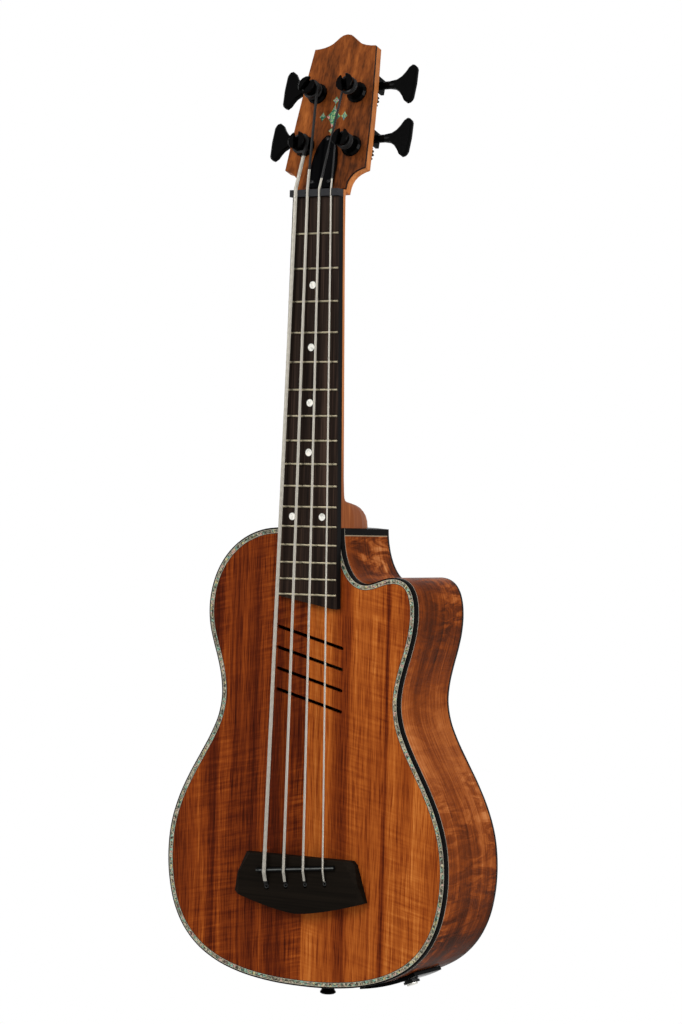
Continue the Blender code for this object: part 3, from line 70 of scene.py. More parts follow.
# Frames for small fittings: X across, Y up the headstock or the neck, Z out of the face
HEAD_TILT = math.radians(15.3)
HEAD = Matrix.Translation((0, 2.6 * MM, 5.5 * MM)) @ Matrix((
    (1, 0, 0, 0),
    (0, math.sin(HEAD_TILT), -math.cos(HEAD_TILT), 0),
    (0, math.cos(HEAD_TILT), math.sin(HEAD_TILT), 0),
    (0, 0, 0, 1),
))
FRONT = Matrix(((1, 0, 0, 0), (0, 0, -1, 0), (0, 1, 0, 0), (0, 0, 0, 1)))

# Camera, from a fit to the frets and the bridge
CAMERA_PLACE = Vector((1.145606, -1.862460, -0.252715))
CAMERA_RIGHT = Vector((0.85709503, 0.51457922, 0.02441985))
CAMERA_DOWN = Vector((0.01924029, 0.01539448, -0.99969636))
CAMERA_FORWARD = Vector((-0.51479891, 0.85730463, 0.00329388))
FOCAL_PIXELS = 2796.87
PHOTO_HEIGHT = 1024
SENSOR = 36.0

# Stage
FLOOR_HEIGHT = -1.25
FLOOR_RADIUS = 2.2
FLOOR_GLOW = 0.32  # for the camera alone
WORLD_LEVEL = 0.42  # on the object; the camera and reflections see 1
BODY_CENTRE = Vector((0.0, 0.04, -0.35))
LAMPS = {  # place from the body's centre, width, height and power
    "key_lamp": ((-0.35, -1.75, 1.05), 1.1, 1.1, 28.0),
    "side_lamp": ((2.0, -0.75, 0.55), 0.9, 0.9, 25.0),
    "right_strip": ((2.1, 0.2, 0.3), 0.05, 1.1, 5.0),
    "left_strip": ((-2.1, -0.6, 0.3), 0.05, 1.1, 5.0),
}

MIX_FIRST, MIX_SECOND, MIX_RESULT = 6, 7, 2  # a Mix node's sockets for colours


class Look:
    """A node material while it is put together. Places are in the object's own frame, in metres."""

    def __init__(self, name, **constants):
        self.material = bpy.data.materials.new(name)
        self.material.use_nodes = True
        self.tree = self.material.node_tree
        self.shader = self.tree.nodes["Principled BSDF"]
        for key, value in constants.items():
            self.put(value, self.shader.inputs[key.replace("_", " ")])
        self.place = self.add("ShaderNodeTexCoord").outputs["Object"]

    def add(self, kind, **settings):
        node = self.tree.nodes.new(kind)
        for key, value in settings.items():
            setattr(node, key, value)
        return node

    def put(self, value, socket):
        if isinstance(value, bpy.types.NodeSocket):
            self.tree.links.new(value, socket)
        elif isinstance(value, tuple) and len(value) == 3 and socket.type == "RGBA":
            socket.default_value = (*value, 1.0)
        else:
            socket.default_value = value

    def set(self, **values):
        for key, value in values.items():
            self.put(value, self.shader.inputs[key.replace("_", " ")])
        return self

    def math(self, operation, *values):
        node = self.add("ShaderNodeMath", operation=operation)
        for socket, value in zip(node.inputs, values):
            self.put(value, socket)
        return node.outputs[0]

    def plus(self, first, second):
        return self.math("ADD", first, second)

    def times(self, first, second):
        return self.math("MULTIPLY", first, second)

    def mix(self, share, first, second, blend="MIX"):
        node = self.add("ShaderNodeMix", data_type="RGBA", blend_type=blend)
        self.put(share, node.inputs["Factor"])
        self.put(first, node.inputs[MIX_FIRST])
        self.put(second, node.inputs[MIX_SECOND])
        return node.outputs[MIX_RESULT]

    def axes(self, place=None):
        node = self.add("ShaderNodeSeparateXYZ")
        self.put(self.place if place is None else place, node.inputs[0])
        return tuple(node.outputs)

    def vector(self, x, y, z):
        node = self.add("ShaderNodeCombineXYZ")
        for socket, value in zip(node.inputs, (x, y, z)):
            self.put(value, socket)
        return node.outputs[0]

    def scaled(self, x, y, z, place=None):
        node = self.add("ShaderNodeVectorMath", operation="MULTIPLY")
        self.put(self.place if place is None else place, node.inputs[0])
        node.inputs[1].default_value = (x, y, z)
        return node.outputs[0]

    def noise(self, place, detail, scale=1.0, roughness=0.5, distortion=0.0):
        node = self.add("ShaderNodeTexNoise")
        self.put(place, node.inputs["Vector"])
        node.inputs["Scale"].default_value = scale
        node.inputs["Detail"].default_value = detail
        node.inputs["Roughness"].default_value = roughness
        node.inputs["Distortion"].default_value = distortion
        return node.outputs["Fac"]

    def wave(self, place, period):
        """Waves that follow each other along Z."""
        node = self.add("ShaderNodeTexWave", bands_direction="Z")
        self.put(place, node.inputs["Vector"])
        node.inputs["Scale"].default_value = math.pi / 10 / period
        return node.outputs["Fac"]

    def cells(self, place, scale):
        """A random colour for each cell."""
        node = self.add("ShaderNodeTexVoronoi")
        self.put(place, node.inputs["Vector"])
        node.inputs["Scale"].default_value = scale
        return node.outputs["Color"]

    def ramp(self, share, stops, interpolation="LINEAR"):
        """Colours or, where the stops hold one number each, greys."""
        node = self.add("ShaderNodeValToRGB")
        node.color_ramp.interpolation = interpolation
        elements = node.color_ramp.elements
        while len(elements) < len(stops):
            elements.new(0.5)
        for element, (position, colour) in zip(elements, stops):
            element.position = position
            channels = colour if isinstance(colour, tuple) else (colour,) * 3
            element.color = (*channels, 1.0)
        self.put(share, node.inputs[0])
        return node.outputs[0]

    def step(self, value, low, high, start=0.0, end=1.0):
        """From start, below low, to end, above high, and smooth between them."""
        node = self.add("ShaderNodeMapRange", interpolation_type="SMOOTHSTEP")
        for socket, number in zip(node.inputs, (value, low, high, start, end)):
            self.put(number, socket)
        return node.outputs[0]

    def bump(self, height, strength, distance):
        """Relief in the shader's normal, from a height."""
        node = self.add("ShaderNodeBump")
        node.inputs["Strength"].default_value = strength
        node.inputs["Distance"].default_value = distance
        self.put(height, node.inputs["Height"])
        self.put(node.outputs[0], self.shader.inputs["Normal"])
        return self


def rgb(red, green, blue):
    """A colour of a shader, from the numbers 0 to 255 that a screen shows, by the sRGB curve."""
    def linear(value):
        value /= 255
        return value / 12.92 if value <= 0.04045 else ((value + 0.055) / 1.055) ** 2.4
    return (linear(red), linear(green), linear(blue))


BINDING_BLACK = rgb(11, 10, 10)
PALE_LINE = rgb(150, 132, 108)
KOA_COLOURS = [
    (0.0, rgb(50, 15, 5)),
    (0.2, rgb(80, 28, 9)),
    (0.42, rgb(122, 53, 16)),
    (0.62, rgb(158, 82, 29)),
    (0.82, rgb(190, 115, 52)),
    (1.0, rgb(216, 150, 86)),
]
SIDE_KOA_COLOURS = [
    (0.0, rgb(48, 19, 3)),
    (0.25, rgb(88, 36, 6)),
    (0.45, rgb(126, 58, 16)),
    (0.65, rgb(164, 90, 40)),
    (0.85, rgb(196, 126, 74)),
    (1.0, rgb(218, 160, 108)),
]
HEAD_KOA_COLOURS = [
    (0.0, rgb(32, 15, 7)),
    (0.3, rgb(62, 31, 13)),
    (0.55, rgb(108, 55, 22)),
    (0.8, rgb(144, 80, 34)),
    (1.0, rgb(172, 104, 52)),
]


def koa_top(name):
    """Two bookmatched halves of koa: dark streaks along Z, a fine curl across them."""
    look = Look(name, Specular_IOR_Level=0.025)
    half_width, seam = 135 * MM, 0.3 * MM  # the streaks' places are shares of the first
    x, _, z = look.axes()
    wander = look.plus(look.noise(look.scaled(9, 0, 5), detail=2), -0.5)
    across = look.plus(look.math("ABSOLUTE", x), look.times(wander, 9 * MM))
    share = look.times(across, 1 / half_width)
    treble_half = look.step(x, -seam, seam)
    treble = look.ramp(share, [
        (0.0, 0.60), (0.05, 0.66), (0.15, 0.60), (0.22, 0.46), (0.27, 0.36), (0.31, 0.56),
        (0.45, 0.62), (0.505, 0.58), (0.53, 0.24), (0.555, 0.58), (0.68, 0.50), (0.78, 0.62), (0.9, 0.56),
    ])
    bass = look.ramp(share, [
        (0.0, 0.32), (0.06, 0.25), (0.12, 0.36), (0.2, 0.24), (0.28, 0.42), (0.35, 0.20), (0.42, 0.40),
        (0.5, 0.32), (0.58, 0.38), (0.63, 0.16), (0.68, 0.34), (0.8, 0.38), (0.92, 0.32),
    ])
    tone = look.mix(treble_half, bass, treble)
    place = look.vector(across, 0.0, z)
    broad = look.plus(look.noise(look.scaled(42, 0, 2.6, place), detail=4, roughness=0.55), -0.5)
    fine = look.plus(look.noise(look.scaled(400, 0, 6, place), detail=4, roughness=0.62), -0.5)
    tone = look.plus(tone, look.times(broad, 0.62))
    tone = look.plus(tone, look.times(fine, 0.66))
    # Curl: narrow bands across the grain, in patches and beside the joint of the bass half
    lean = look.plus(z, look.times(look.math("ABSOLUTE", x), 0.22))
    curl = look.noise(look.vector(look.times(x, 26), 0.0, look.times(lean, 330)), detail=2.5, roughness=0.55)
    patch = look.step(look.noise(look.scaled(21, 0, 6), detail=2), 0.42, 0.66)
    by_joint = look.times(look.step(x, -20 * MM, -6 * MM), look.step(x, 1 * MM, -1 * MM))
    long_patch = look.step(look.noise(look.scaled(0, 0, 9), detail=2), 0.40, 0.60)
    by_joint = look.times(by_joint, long_patch)
    strength = look.plus(0.14, look.plus(look.times(patch, 0.42), look.times(by_joint, 0.75)))
    tone = look.plus(tone, look.times(look.plus(curl, -0.5), strength))
    tone = look.plus(tone, look.times(by_joint, 0.10))
    pores = look.noise(look.scaled(1500, 0, 40, place), detail=1.5)
    tone = look.plus(tone, look.step(pores, 0.36, 0.52, -0.20, 0.0))
    return look.set(
        Base_Color=look.ramp(tone, KOA_COLOURS),
        Roughness=look.step(curl, 0.3, 0.7, 0.30, 0.40),
    ).bump(pores, 0.10, 0.1 * MM).material


def koa_sides(name):
    """Bent koa: grain along the side, rippled figure across it, painted sheen and painted shade along its
    height, and the bands beside the neck's joint.
    """
    look = Look(name, Specular_IOR_Level=0.015)
    tone_foot, tone_height = -620 * MM, 360 * MM  # the tones' places are shares of this stretch
    line_start, band_start = JOINT_HEIGHT - 6.0 * MM, JOINT_HEIGHT - 5.2 * MM
    edge = 0.1 * MM
    x, y, z = look.axes()
    wander = look.plus(look.noise(look.scaled(7, 20, 7), detail=2), -0.5)
    across = look.plus(y, look.times(wander, 13 * MM))
    place = look.vector(x, across, z)
    broad = look.plus(look.noise(look.scaled(3, 60, 3, place), detail=4, roughness=0.55), -0.5)
    fine = look.plus(look.noise(look.scaled(12, 420, 12, place), detail=4, roughness=0.6), -0.5)
    # Painted light along the height: painted shade towards the tail and a painted sheen about the waist and
    # lower bout
    along = look.ramp(look.times(look.plus(z, -tone_foot), 1 / tone_height), [
        (0.0, 0.02), (0.1, 0.14), (0.22, 0.34), (0.40, 0.56),
        (0.58, 0.58), (0.70, 0.36), (0.80, 0.24), (0.94, 0.42),
    ])
    tone = look.plus(look.plus(along, look.times(broad, 0.62)), look.times(fine, 0.56))
    ripple = look.noise(look.scaled(85, 30, 115), detail=4, roughness=0.66, distortion=0.9)
    patch = look.step(look.noise(look.scaled(8, 17, 8), detail=2), 0.45, 0.62)
    figure = look.step(look.plus(ripple, -0.5), -0.12, 0.16, -0.26, 0.50)
    tone = look.plus(tone, look.times(figure, look.plus(0.12, look.times(patch, 0.50))))
    pores = look.noise(look.scaled(60, 1500, 60, place), detail=1.5)
    tone = look.plus(tone, look.step(pores, 0.36, 0.52, -0.14, 0.0))
    wood = look.ramp(tone, SIDE_KOA_COLOURS)
    wood = look.mix(look.step(z, line_start, line_start + edge), wood, PALE_LINE)
    wood = look.mix(look.step(z, band_start, band_start + edge), wood, BINDING_BLACK)
    return look.set(
        Base_Color=wood,
        Roughness=look.step(ripple, 0.3, 0.7, 0.24, 0.40),
    ).bump(ripple, 0.16, 0.5 * MM).material


def plain_wood(
    name, stops, roughness, grain=(260, 260, 7), strength=0.5, tone=0.5, specular=0.3, pores=0.1,
    dark_side=None, painted_shade_below=None,
):
    """Wood with grain along the axis whose scale is the least. Surfaces that turn from the front may be of
    dark_side's colour, and the wood may be darker below a height, as painted shade."""
    look = Look(name, Roughness=roughness, Specular_IOR_Level=specular)
    broad_share, pore_share = 0.16, 4  # of the fine grain's scale
    fading = 60 * MM
    broad = look.noise(look.scaled(*(g * broad_share for g in grain)), detail=3)
    fine = look.noise(look.scaled(*grain), detail=4, roughness=0.6)
    value = look.plus(tone, look.times(look.plus(broad, -0.5), strength))
    value = look.plus(value, look.times(look.plus(fine, -0.5), strength))
    holes = look.noise(look.scaled(*(g * pore_share for g in grain)), detail=1.5)
    value = look.plus(value, look.step(holes, 0.36, 0.5, -pores, 0.0))
    if painted_shade_below:
        # Painted shade: darker below the height, fading out over the stretch above it
        height = look.axes()[2]
        value = look.plus(value, look.step(height, painted_shade_below, painted_shade_below + fading, -0.26, 0.0))
    colour = look.ramp(value, stops)
    if dark_side:
        normal = look.add("ShaderNodeNewGeometry").outputs["Normal"]
        front = look.step(look.axes(normal)[1], -0.6, -0.4)
        colour = look.mix(front, colour, dark_side)
    return look.set(Base_Color=colour).bump(holes, 0.15, 0.1 * MM).material


def smooth_finish(name, colour, roughness, metallic=0.0, specular=0.5, dents=0.05):
    """A moulded, cast or plated surface with faint unevenness in tone and gloss."""
    look = Look(name, Metallic=metallic, Specular_IOR_Level=specular)
    variation = 0.12
    cloud = look.noise(look.scaled(48.0, 48.0, 48.0), detail=3)
    speck = look.noise(look.scaled(400.0, 400.0, 400.0), detail=2)
    darker = tuple(c * (1 - variation) for c in colour)
    lighter = tuple(min(1.0, c * (1 + variation)) for c in colour)
    return look.set(
        Base_Color=look.ramp(cloud, [(0.3, darker), (0.7, lighter)]),
        Roughness=look.step(speck, 0.3, 0.7, roughness * 0.85, roughness * 1.15),
    ).bump(speck, dents, 0.05 * MM).material


def abalone(name):
    """Slips of shell: silver with green, teal, gold and pink in places, some of them dark."""
    look = Look(name, Roughness=0.22, Specular_IOR_Level=0.12)
    slip = 1.9 * MM
    pick, shade, _ = look.axes(look.cells(look.place, scale=1 / slip))
    ripples = look.noise(look.place, scale=1100, detail=3, roughness=0.6)
    speck = look.noise(look.place, scale=900, detail=2)
    silver = look.ramp(ripples, [
        (0.32, rgb(70, 70, 58)), (0.5, rgb(140, 136, 116)), (0.66, rgb(214, 208, 190)),
    ])
    colour = look.ramp(pick, [
        (0.0, rgb(62, 132, 112)), (0.12, rgb(120, 112, 90)), (0.3, rgb(186, 178, 154)),
        (0.46, rgb(100, 98, 82)), (0.58, rgb(96, 178, 160)), (0.66, rgb(168, 146, 122)),
        (0.76, rgb(196, 184, 116)), (0.86, rgb(190, 140, 132)), (0.93, rgb(48, 64, 60)),
    ], "CONSTANT")
    shell = look.mix(0.55, silver, colour)
    dark = look.times(look.step(speck, 0.38, 0.50, 0.16, 1.0), look.step(shade, 0.2, 0.3, 0.28, 1.0))
    shell = look.mix(1.0, shell, look.vector(dark, dark, dark), "MULTIPLY")
    return look.set(Base_Color=shell).material


def bright_shell(name):
    """Strong green, teal, gold and pink shell of the headstock's inlay."""
    look = Look(name, Roughness=0.2, Specular_IOR_Level=0.12)
    flow = look.noise(look.place, scale=190, detail=3, roughness=0.6, distortion=1.2)
    veins = look.noise(look.place, scale=700, detail=3, distortion=2.0)
    colour = look.ramp(flow, [
        (0.30, rgb(16, 40, 34)), (0.40, rgb(30, 84, 66)), (0.46, rgb(70, 132, 96)),
        (0.50, rgb(168, 182, 110)), (0.54, rgb(52, 112, 104)), (0.60, rgb(110, 124, 130)),
        (0.65, rgb(214, 138, 118)), (0.72, rgb(24, 66, 64)),
    ])
    dark = look.step(veins, 0.36, 0.5, 0.35, 1.0)
    shell = look.mix(1.0, colour, look.vector(dark, dark, dark), "MULTIPLY")
    return look.set(Base_Color=shell).material


def socket(name):
    """Black nut and barrel round a bright inner ring, by the distance from the jack's own axis."""
    look = Look(name, Specular_IOR_Level=0.1)
    ring_radius, edge = 4.9 * MM, 0.2 * MM
    from_mouth = look.add("ShaderNodeVectorMath", operation="SUBTRACT")
    look.put(look.place, from_mouth.inputs[0])
    from_mouth.inputs[1].default_value = JACK_MOUTH
    across = look.add("ShaderNodeVectorMath", operation="CROSS_PRODUCT")
    look.put(from_mouth.outputs[0], across.inputs[0])
    across.inputs[1].default_value = JACK_WAY
    reach = look.add("ShaderNodeVectorMath", operation="LENGTH")
    look.put(across.outputs[0], reach.inputs[0])
    bright = look.step(reach.outputs["Value"], ring_radius, ring_radius - edge)
    cloud = look.noise(look.place, scale=500, detail=2)
    steel = look.ramp(cloud, [(0.35, rgb(196, 194, 186)), (0.65, rgb(232, 230, 224))])
    return look.set(
        Base_Color=look.mix(bright, rgb(8, 8, 8), steel),
        Metallic=look.times(bright, 0.6),
        Roughness=look.step(cloud, 0.3, 0.7, 0.2, 0.3),
    ).material


def pearl(name):
    """White mother of pearl with faint clouds."""
    look = Look(name, Roughness=0.25, Specular_IOR_Level=0.2)
    cloud = look.noise(look.place, scale=330, detail=3, distortion=1.0)
    return look.set(Base_Color=look.ramp(cloud, [
        (0.3, rgb(176, 176, 166)), (0.5, rgb(226, 224, 216)), (0.7, rgb(240, 234, 222)),
    ])).material


def fretboard_wood(name):
    """Dark rosewood, with its edges stained black."""
    look = Look(name, Roughness=0.5, Specular_IOR_Level=0.03)
    normal = look.add("ShaderNodeNewGeometry").outputs["Normal"]
    broad = look.noise(look.scaled(150, 150, 4), detail=4, roughness=0.62)
    fine = look.noise(look.scaled(900, 900, 18), detail=3, roughness=0.6)
    value = look.plus(look.times(broad, 0.62), look.times(fine, 0.38))
    brown = look.ramp(value, [(0.38, rgb(19, 13, 11)), (0.5, rgb(36, 27, 22)), (0.6, rgb(58, 44, 36))])
    edge = look.step(look.math("ABSOLUTE", look.axes(normal)[0]), 0.5, 0.8)
    colour = look.mix(edge, brown, rgb(12, 11, 11))
    return look.set(Base_Color=colour).bump(fine, 0.12, 0.1 * MM).material


def string_wound(name, silk_from, silk_below, ridge):
    """Bright wound string that is black beyond silk_from at the head and below silk_below at the bridge, with
    painted shade on its side towards the body and painted highlights and shade on its wraps.
    """
    look = Look(name, Specular_IOR_Level=0.14)
    edge = 0.4 * MM
    z = look.axes()[2]
    ridges = look.wave(look.place, period=ridge)
    silk = look.plus(look.step(z, silk_from, silk_from + edge), look.step(z, silk_below, silk_below - edge))
    # Painted light on the wraps: lighter crests as painted highlights, darker grooves as painted shade
    silver = look.ramp(ridges, [(0.1, rgb(96, 92, 84)), (0.6, rgb(180, 175, 164))])
    # Painted shade: the side of the string that faces the body is darker
    normal = look.add("ShaderNodeNewGeometry").outputs["Normal"]
    painted_shade_beneath = look.step(look.axes(normal)[1], -0.25, 0.35)
    silver = look.mix(painted_shade_beneath, silver, rgb(44, 40, 36))
    # The black silk gets the same painted highlights on its wraps' crests
    threads = look.ramp(ridges, [(0.2, rgb(8, 8, 8)), (0.8, rgb(36, 35, 35))])
    colour = look.mix(silk, silver, threads)
    return look.set(
        Base_Color=colour,
        Metallic=look.step(silk, 0.0, 1.0, 0.5, 0.0),
        Roughness=look.step(silk, 0.0, 1.0, 0.36, 0.3),
    ).bump(ridges, 0.5, 0.1 * MM).material


MAHOGANY = [(0.2, rgb(126, 66, 30)), (0.5, rgb(184, 114, 62)), (0.8, rgb(222, 158, 102))]
# Spruce darker than its own colour, as painted shade inside the body
SPRUCE_IN_PAINTED_SHADE = [(0.2, rgb(96, 72, 44)), (0.8, rgb(128, 104, 70))]
MAPLE = [(0.2, rgb(196, 160, 116)), (0.8, rgb(232, 206, 166))]
EBONY = [(0.3, rgb(8, 6, 4)), (0.7, rgb(23, 18, 13))]

LOOKS = {
    "koa_top": koa_top("koa_top_look"),
    "koa_back": koa_top("koa_back_look"),
    "koa_sides": koa_sides("koa_sides_look"),
    "koa_head": plain_wood(
        "koa_head_look", HEAD_KOA_COLOURS, grain=(170, 170, 3), strength=1.0, tone=0.52, roughness=0.4,
        specular=0.03, pores=0.05, dark_side=rgb(34, 18, 10),
    ),
    "black_binding": smooth_finish("binding_look", BINDING_BLACK, roughness=0.28, specular=0.015),
    "abalone": abalone("abalone_look"),
    # The neck, with painted shade on its heel beside the body
    "mahogany": plain_wood(
        "mahogany_look", MAHOGANY, strength=0.45, roughness=0.45, specular=0.04, painted_shade_below=-240 * MM
    ),
    "spruce": plain_wood("spruce_look", SPRUCE_IN_PAINTED_SHADE, roughness=0.7),
    "maple": plain_wood("maple_look", MAPLE, grain=(7, 260, 260), roughness=0.7),
    "ebony": plain_wood(
        "ebony_look", EBONY, grain=(6, 300, 300), strength=0.6, roughness=0.55, specular=0.02, pores=0.06
    ),
    "rosewood": fretboard_wood("rosewood_look"),
    "black_nut": smooth_finish("nut_look", rgb(26, 26, 28), roughness=0.45, specular=0.12),
    "black_plastic": smooth_finish("black_plastic_look", rgb(4, 4, 5), roughness=0.14, specular=0.02),
    "black_metal": smooth_finish("black_metal_look", rgb(4, 4, 4), roughness=0.13, specular=0.025, dents=0.0),
    "pickup": smooth_finish("pickup_look", rgb(40, 40, 42), roughness=0.6),
    "lead": smooth_finish("lead_look", rgb(24, 24, 25), roughness=0.6),
    "jack_metal": socket("jack_metal_look"),
    "steel": smooth_finish("steel_look", rgb(150, 150, 152), roughness=0.3, metallic=1.0),
    "fret_wire": smooth_finish("fret_wire_look", rgb(158, 148, 124), roughness=0.3, metallic=0.9),
}
PALE_TRIM = smooth_finish("pale_trim_look", rgb(156, 150, 134), roughness=0.4, specular=0.1)
PEARL = pearl("pearl_look")
BRIGHT_SHELL = bright_shell("bright_shell_look")
SCREW_BLACK = smooth_finish("screw_look", rgb(16, 16, 17), roughness=0.25, specular=0.3, metallic=0.4)


def saddle_look():
    """Black, with a painted highlight: a thin pale line along its crown, broken in places."""
    look = Look("saddle_look", Roughness=0.4, Specular_IOR_Level=0.03)
    x, y, z = look.axes()
    points = [vertex.co for vertex in NODES["saddle"].data.vertices]
    crown = min(point.y for point in points)
    crown_depth = 0.3 * MM
    ends = []
    for sign in (-1, 1):
        side = [point for point in points if sign * point.x > 0 and point.y < crown + crown_depth]
        ends.append(Vector((sum(p.x for p in side), sum(p.z for p in side))) / len(side))
    slope = (ends[1].y - ends[0].y) / (ends[1].x - ends[0].x)
    middle = look.plus(look.times(x, slope), ends[0].y - slope * ends[0].x)
    away = look.math("ABSOLUTE", look.plus(z, look.times(middle, -1)))
    # Painted highlight along the crown, broken into patches along X
    highlight_breaks = look.noise(look.scaled(160, 0, 0), detail=2)
    line = look.times(look.step(away, 0.6 * MM, 0.35 * MM), look.step(highlight_breaks, 0.25, 0.5))
    line = look.times(line, look.step(y, crown + 0.5 * MM, crown + 0.15 * MM))
    return look.set(Base_Color=look.mix(line, rgb(11, 11, 11), rgb(88, 90, 88))).material


def dress_nodes():
    """Puts a look on each CAD node, by the name of its material in the CAD."""
    for name, node in NODES.items():
        if name.startswith("string_"):
            letter = name[-1]
            high, low = SILK[letter]
            look = string_wound(name + "_look", high * MM, low * MM, WRAP[letter] * MM)
        elif name == "saddle":
            look = saddle_look()
        else:
            look = LOOKS[node.data.materials[0].name]
        for index in range(len(node.data.materials)):
            node.data.materials[index] = look


def plane_loops(node, depth):
    """Loops round the faces of a node that lie at one depth, as points (x, z), the longest first."""
    tolerance = 0.02 * MM
    mesh = NODES[node].data
    edges = set()
    for face in mesh.polygons:
        points = [mesh.vertices[index].co for index in face.vertices]
        if all(abs(point.y - depth) < tolerance for point in points):
            corners = [(round(point.x, 6), round(point.z, 6)) for point in points]
            for edge in zip(corners, corners[1:] + corners[:1]):
                if edge[::-1] in edges:
                    edges.remove(edge[::-1])
                else:
                    edges.add(edge)
    following = dict(sorted(edges))
    loops = []
    while following:
        first = min(following)
        loop = [first]
        here = following.pop(first)
        while here != first:
            loop.append(here)
            here = following.pop(here)
        loops.append([Vector(point) for point in loop])
    return sorted(loops, key=loop_length, reverse=True)


def loop_length(loop):
    return sum((after - point).length for point, after in zip(loop, loop[1:] + loop[:1]))


def finer(loop, parts=5, sharp=math.radians(50)):
    """The loop with cubic curves through its points, but with its sharp corners kept."""
    count = len(loop)
    steps = [loop[(i + 1) % count] - loop[i] for i in range(count)]
    tangents = []
    for i in range(count):
        before, after = steps[i - 1], steps[i]
        if before.angle(after) > sharp:
            tangents.append(None)
        else:
            tangent = before.normalized() * after.length + after.normalized() * before.length
            tangents.append(tangent.normalized())
    points = []
    for i in range(count):
        step = steps[i]
        way = step.normalized()
        first, last = tangents[i], tangents[(i + 1) % count]
        if first is None and last is None:
            first = last = way
        first = first or 2 * way.dot(last) * way - last
        last = last or 2 * way.dot(first) * way - first
        for k in range(parts):
            t = k / parts
            points.append(
                (1 + 2 * t) * (1 - t) ** 2 * loop[i]
                + t * (1 - t) ** 2 * step.length * first
                + t * t * (3 - 2 * t) * loop[(i + 1) % count]
                - t * t * (1 - t) * step.length * last
            )
    return points


def inward(loop):
    """For each point, the way into the loop, longer at corners, so that offsets keep their width."""
    area = sum(a.x * b.y - b.x * a.y for a, b in zip(loop, loop[1:] + loop[:1]))
    turn = 1 if area > 0 else -1
    ways = []
    for i, point in enumerate(loop):
        before = (point - loop[i - 1]).normalized()
        after = (loop[(i + 1) % len(loop)] - point).normalized()
        first = Vector((-before.y, before.x)) * turn
        last = Vector((-after.y, after.x)) * turn
        ways.append((first + last) / (1 + first.dot(last)))
    return ways


def inset(loop, distance):
    """The loop moved inward."""
    return [point + way * distance for point, way in zip(loop, inward(loop))]


def back_profile():
    """Pairs of height and depth of the back's face, from the CAD back binding."""
    mesh = NODES["back_binding"].data
    pairs = {}
    for face in mesh.polygons:
        if face.normal.y > 0.9:
            for index in face.vertices:
                point = mesh.vertices[index].co
                pairs[round(point.z, 5)] = point.y
    return sorted(pairs.items())


BACK_PROFILE = back_profile()
TAIL_DEPTH = BACK_PROFILE[0][1]


def back_depth(z):
    """Depth of the back's face at height z, with the bends of the CAD profile made smooth by a mean of
    places around it."""
    low, high = BACK_PROFILE[0][0], BACK_PROFILE[-1][0]
    reach, steps = 9 * MM, 2
    total = 0.0
    for k in range(-steps, steps + 1):
        here = min(max(z + k * reach / steps, low), high)
        index = 1
        while BACK_PROFILE[index][0] < here and index < len(BACK_PROFILE) - 1:
            index += 1
        (z0, y0), (z1, y1) = BACK_PROFILE[index - 1], BACK_PROFILE[index]
        total += y0 + (y1 - y0) * (here - z0) / max(z1 - z0, 1e-6)
    return min(total / (2 * steps + 1), TAIL_DEPTH)


def ring(name, loop, profile, materials):
    """A closed band along a loop. A profile entry is inset, depth or a function of the height for it,
    and the material of the strip to the next entry."""
    shape = bmesh.new()
    rows = []
    for point, way in zip(loop, inward(loop)):
        row = []
        for distance, depth, _ in profile:
            x, z = point + way * distance
            row.append(shape.verts.new((x, depth(point.y) if callable(depth) else depth, z)))
        rows.append(row)
    for row, after in zip(rows, rows[1:] + rows[:1]):
        for k in range(len(profile)):
            n = (k + 1) % len(profile)
            face = shape.faces.new((row[k], row[n], after[n], after[k]))
            face.material_index = profile[k][2]
    return finished(name, shape, materials)


def finished(name, shape, materials, smooth=True):
    """The piece with this mesh, riding on the instrument, with edges sharper than the crease kept sharp."""
    crease = math.radians(30)
    bmesh.ops.recalc_face_normals(shape, faces=shape.faces)
    for face in shape.faces:
        face.smooth = smooth
    mesh = bpy.data.meshes.new(name)
    shape.to_mesh(mesh)
    shape.free()
    mesh.set_sharp_from_angle(angle=crease)
    piece = new_object(name, mesh, materials)
    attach(piece, "instrument")
    return piece


def new_object(name, mesh, materials):
    for material in materials:
        mesh.materials.append(material)
    thing = bpy.data.objects.new(name, mesh)
    bpy.context.scene.collection.objects.link(thing)
    return thing


def filled(name, loops):
    """A flat mesh at depth 0 inside the first loop and outside the others."""
    curve = bpy.data.curves.new(name, "CURVE")
    curve.dimensions = "2D"
    curve.fill_mode = "BOTH"
    for loop in loops:
        spline = curve.splines.new("POLY")
        spline.points.add(len(loop) - 1)
        for point, (a, b) in zip(spline.points, loop):
            point.co = (a, b, 0, 1)
        spline.use_cyclic_u = True
    holder = bpy.data.objects.new(name, curve)
    bpy.context.scene.collection.objects.link(holder)
    graph = bpy.context.evaluated_depsgraph_get()
    flat = bpy.data.meshes.new_from_object(holder.evaluated_get(graph))
    bpy.data.objects.remove(holder, do_unlink=True)
    bpy.data.curves.remove(curve)
    shape = bmesh.new()
    shape.from_mesh(flat)
    bpy.data.meshes.remove(flat)
    bmesh.ops.remove_doubles(shape, verts=shape.verts, dist=0.001 * MM)
    return shape


def plate(name, loops, depth, thickness, materials, bend_every=None):
    """A plate whose face follows depth(z), with thickness towards +Y. Where that bends, it gets an edge
    across it at each bend_every of height."""
    shape = filled(name, loops)
    if bend_every:
        low = min(v.co.y for v in shape.verts)
        high = max(v.co.y for v in shape.verts)
        for k in range(1, int((high - low) / bend_every)):
            everything = shape.verts[:] + shape.edges[:] + shape.faces[:]
            place = (0, low + k * bend_every, 0)
            bmesh.ops.bisect_plane(shape, geom=everything, dist=1e-7, plane_co=place, plane_no=(0, 1, 0))
    for vert in shape.verts:
        x, z = vert.co.x, vert.co.y
        vert.co = (x, depth(z), z)
    far = bmesh.ops.extrude_face_region(shape, geom=shape.faces[:])
    for item in far["geom"]:
        if isinstance(item, bmesh.types.BMVert):
            item.co.y += thickness
    return finished(name, shape, materials)


